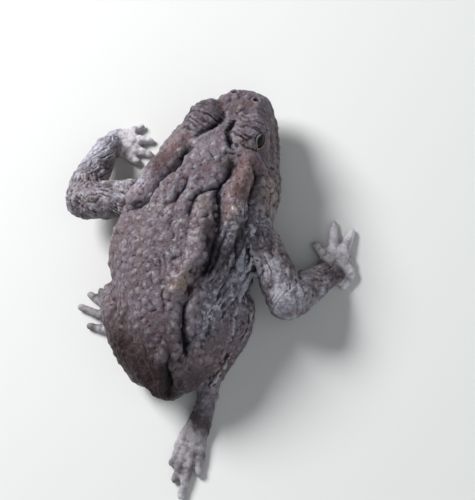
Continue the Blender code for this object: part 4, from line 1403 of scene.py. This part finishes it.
def eye_finish(eyes):
    """Eye with a lying oval pupil, a copper iris flecked with gold and black, and a wet front."""
    finish = Finish("toad_eye")
    across, up = finish.mark("across"), finish.mark("up")
    reach = (across * across + up * up) ** 0.5
    place = finish.node("ShaderNodeTexCoord", out="Object")
    threads = finish.noise(place, 0.0005, 4.0, 0.7)
    flecks = finish.noise(place, 0.00016, 3.0, 0.7, 4.0)
    pupil = (across / 0.50) ** 2.0 + (up / 0.40) ** 2.0
    colour = finish.layers(
        eyes.iris,
        (eyes.gold, flecks.between(0.48, 0.62) * 0.7),
        ((0.02, 0.012, 0.008), threads.between(0.50, 0.60) * 0.75),
        ((0.05, 0.025, 0.015), (up * up).between(0.05, 0.0) * 0.6),
        (eyes.gold, pupil.between(1.35, 1.1) * 0.8),
        # Painted shade of the upper lid over the top of the iris
        ((0.03, 0.016, 0.010), up.between(-0.20, 0.15) * 0.85),
        ((0.004, 0.003, 0.003), pupil.between(1.12, 0.95)),
        (eyes.white, reach.between(0.76, 0.84)),
    )
    finish.set({
        "Base Color": colour,
        "Roughness": 0.28 - pupil.between(1.12, 0.95) * 0.16,
        "Specular IOR Level": 0.08,
        "Coat Weight": 0.4,
        "Coat Roughness": 0.03,
        "Coat IOR": 1.16,
    })
    return finish.material


def floor_finish(studio):
    """Plain pale floor with a barely uneven sheen."""
    finish = Finish("pale_floor")
    place = finish.node("ShaderNodeTexCoord", out="Object")
    cloud = finish.noise(place, 0.35, 2.0, 0.5)
    darker = tuple(0.96 * c for c in studio.floor_colour)
    finish.set({
        "Base Color": finish.mix(studio.floor_colour, darker, cloud),
        "Roughness": 0.85 - cloud * 0.1,
        "Specular IOR Level": 0.2,
    })
    return finish.material


FLESH = sorted(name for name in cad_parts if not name.startswith("eye_"))


class TOAD_OT_make_skin(bpy.types.Operator):
    """Makes the skin of the whole toad, with its folds, glands, lids and warts"""

    bl_idname = "toad.make_skin"
    bl_label = "Make the skin"

    def execute(self, context):
        skin = make_skin(context.scene.toad_form)
        skin.data.materials.append(skin_finish(context.scene.toad_colours))
        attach(skin, "root")
        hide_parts(*FLESH)
        return {"FINISHED"}


class TOAD_OT_make_eyes(bpy.types.Operator):
    """Makes the two eyeballs, whose fronts stand out a little"""

    bl_idname = "toad.make_eyes"
    bl_label = "Make the eyes"

    def execute(self, context):
        eyes = context.scene.toad_eyes
        finish = eye_finish(eyes)
        for name, side in (("right", 1), ("left", -1)):
            ball = self.eyeball(f"eyeball_{name}", eyes, side)
            ball.data.materials.append(finish)
            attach(ball, "root")
            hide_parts(f"eye_{name}")
        return {"FINISHED"}

    def eyeball(self, name, eyes, side):
        """A ball that looks out from the side of the head, with a rounder front over its iris."""
        made = bmesh.new()
        bmesh.ops.create_icosphere(made, subdivisions=6, radius=1)
        ways = np.array([v.co for v in made.verts])
        reach = eyes.radius * (1 + eyes.bulge * step_between(ways[:, 2], 0.62, 0.86))
        forward, out = head_ways(side)
        out_up = out * math.cos(EYE_TILT) + np.array([0, 0, math.sin(EYE_TILT)])
        up = np.cross(out_up, forward) * side
        up = up if up[2] > 0 else -up
        axes = np.array([forward, up, out_up])
        places = eye_middle(side) * MM + np.array(solid_shift()) + ways @ axes * reach[:, None]
        for vert, place in zip(made.verts, places):
            vert.co = place
        if np.linalg.det(axes) < 0:
            bmesh.ops.reverse_faces(made, faces=made.faces)
        ball = new_object(name, made)
        behind = ways[:, 2] < 0
        store_marks(ball, {
            "across": np.where(behind, 1.0, ways[:, 0]), "up": np.where(behind, 1.0, ways[:, 1]),
        })
        ball.data.shade_smooth()
        return ball


class TOAD_OT_make_studio(bpy.types.Operator):
    """Makes the pale floor, the soft lights and the camera"""

    bl_idname = "toad.make_studio"
    bl_label = "Make the studio"

    def execute(self, context):
        studio = context.scene.toad_studio
        self.floor(studio)
        self.lights(context, studio)
        self.camera(context, studio)
        context.scene.view_settings.view_transform = "Standard"
        return {"FINISHED"}

    def floor(self, studio):
        """A plain square floor."""
        made = bmesh.new()
        bmesh.ops.create_grid(made, x_segments=1, y_segments=1, size=studio.floor_size / 2)
        floor = new_object("floor", made)
        floor.data.materials.append(floor_finish(studio))

    def lights(self, context, studio):
        """Two soft round lights and an even sky."""
        for name, place, size, power, colour in (
            ("key", (-0.46, 0.28, 0.48), 0.34, studio.key_power, (0.96, 0.98, 1.0)),
            ("fill", (0.62, -0.40, 0.50), 1.6, studio.fill_power, (0.88, 0.94, 1.0)),
        ):
            lamp = bpy.data.lights.new(name, "AREA")
            lamp.shape, lamp.size, lamp.energy, lamp.color = "DISK", size, power, colour
            light = bpy.data.objects.new(name, lamp)
            light.location = place
            light.rotation_euler = Vector(place).to_track_quat("Z", "Y").to_euler()
            context.scene.collection.objects.link(light)
        world = bpy.data.worlds.new("even_light")
        world.use_nodes = True
        sky = world.node_tree.nodes["Background"]
        sky.inputs["Color"].default_value = (0.93, 0.96, 1.0, 1)
        sky.inputs["Strength"].default_value = studio.sky_strength
        context.scene.world = world

    def camera(self, context, studio):
        """Looks down on the toad from behind its right side, with its middle left of the picture's."""
        flat = math.cos(CAMERA_UP)
        back = Vector((math.sin(CAMERA_ROUND) * flat, -math.cos(CAMERA_ROUND) * flat, math.sin(CAMERA_UP)))
        ahead = Vector((-math.sin(CAMERA_TURN), math.cos(CAMERA_TURN), 0))
        up = (ahead - back * ahead.dot(back)).normalized()
        right = up.cross(back)
        place = solid_shift() + Vector((0, 0, CAMERA_AIM)) + back * studio.distance
        reach = studio.lens / SENSOR_WIDTH * PICTURE_SIDE
        aim = (right * PICTURE_SHIFT[0] + up * PICTURE_SHIFT[1] - back * reach).normalized()
        right = aim.cross(up).normalized()
        turned = Matrix((right, right.cross(aim), -aim)).transposed().to_4x4()
        lens = bpy.data.cameras.new("camera")
        lens.lens, lens.clip_start, lens.clip_end = studio.lens, 0.01, 50
        camera = bpy.data.objects.new("camera", lens)
        camera.matrix_world = Matrix.Translation(place) @ turned
        context.scene.collection.objects.link(camera)
        context.scene.camera = camera


class TOAD_PT_panel(bpy.types.Panel):
    """The settings, each group above the button that uses it"""

    bl_idname = "TOAD_PT_panel"
    bl_label = "Common toad"
    bl_space_type = "VIEW_3D"
    bl_region_type = "UI"
    bl_category = "Toad"

    def draw(self, context):
        scene = context.scene
        for settings, operator in (
            ((scene.toad_form, scene.toad_colours), TOAD_OT_make_skin),
            ((scene.toad_eyes,), TOAD_OT_make_eyes),
            ((scene.toad_studio,), TOAD_OT_make_studio),
        ):
            box = self.layout.box()
            for group in settings:
                for name in group.__annotations__:
                    box.prop(group, name)
            box.operator(operator.bl_idname)


GROUPS = {
    "toad_form": ToadForm, "toad_colours": ToadColours, "toad_eyes": ToadEyes, "toad_studio": ToadStudio,
}
TOOLS = (TOAD_OT_make_skin, TOAD_OT_make_eyes, TOAD_OT_make_studio, TOAD_PT_panel)


def register():
    for name, group in GROUPS.items():
        bpy.utils.register_class(group)
        setattr(bpy.types.Scene, name, PointerProperty(type=group))
    for tool in TOOLS:
        bpy.utils.register_class(tool)


def unregister():
    for tool in reversed(TOOLS):
        bpy.utils.unregister_class(tool)
    for name, group in GROUPS.items():
        delattr(bpy.types.Scene, name)
        bpy.utils.unregister_class(group)


def main():
    register()
    bpy.ops.toad.make_studio()
    bpy.ops.toad.make_skin()
    bpy.ops.toad.make_eyes()


if __name__ == "__main__":
    main()
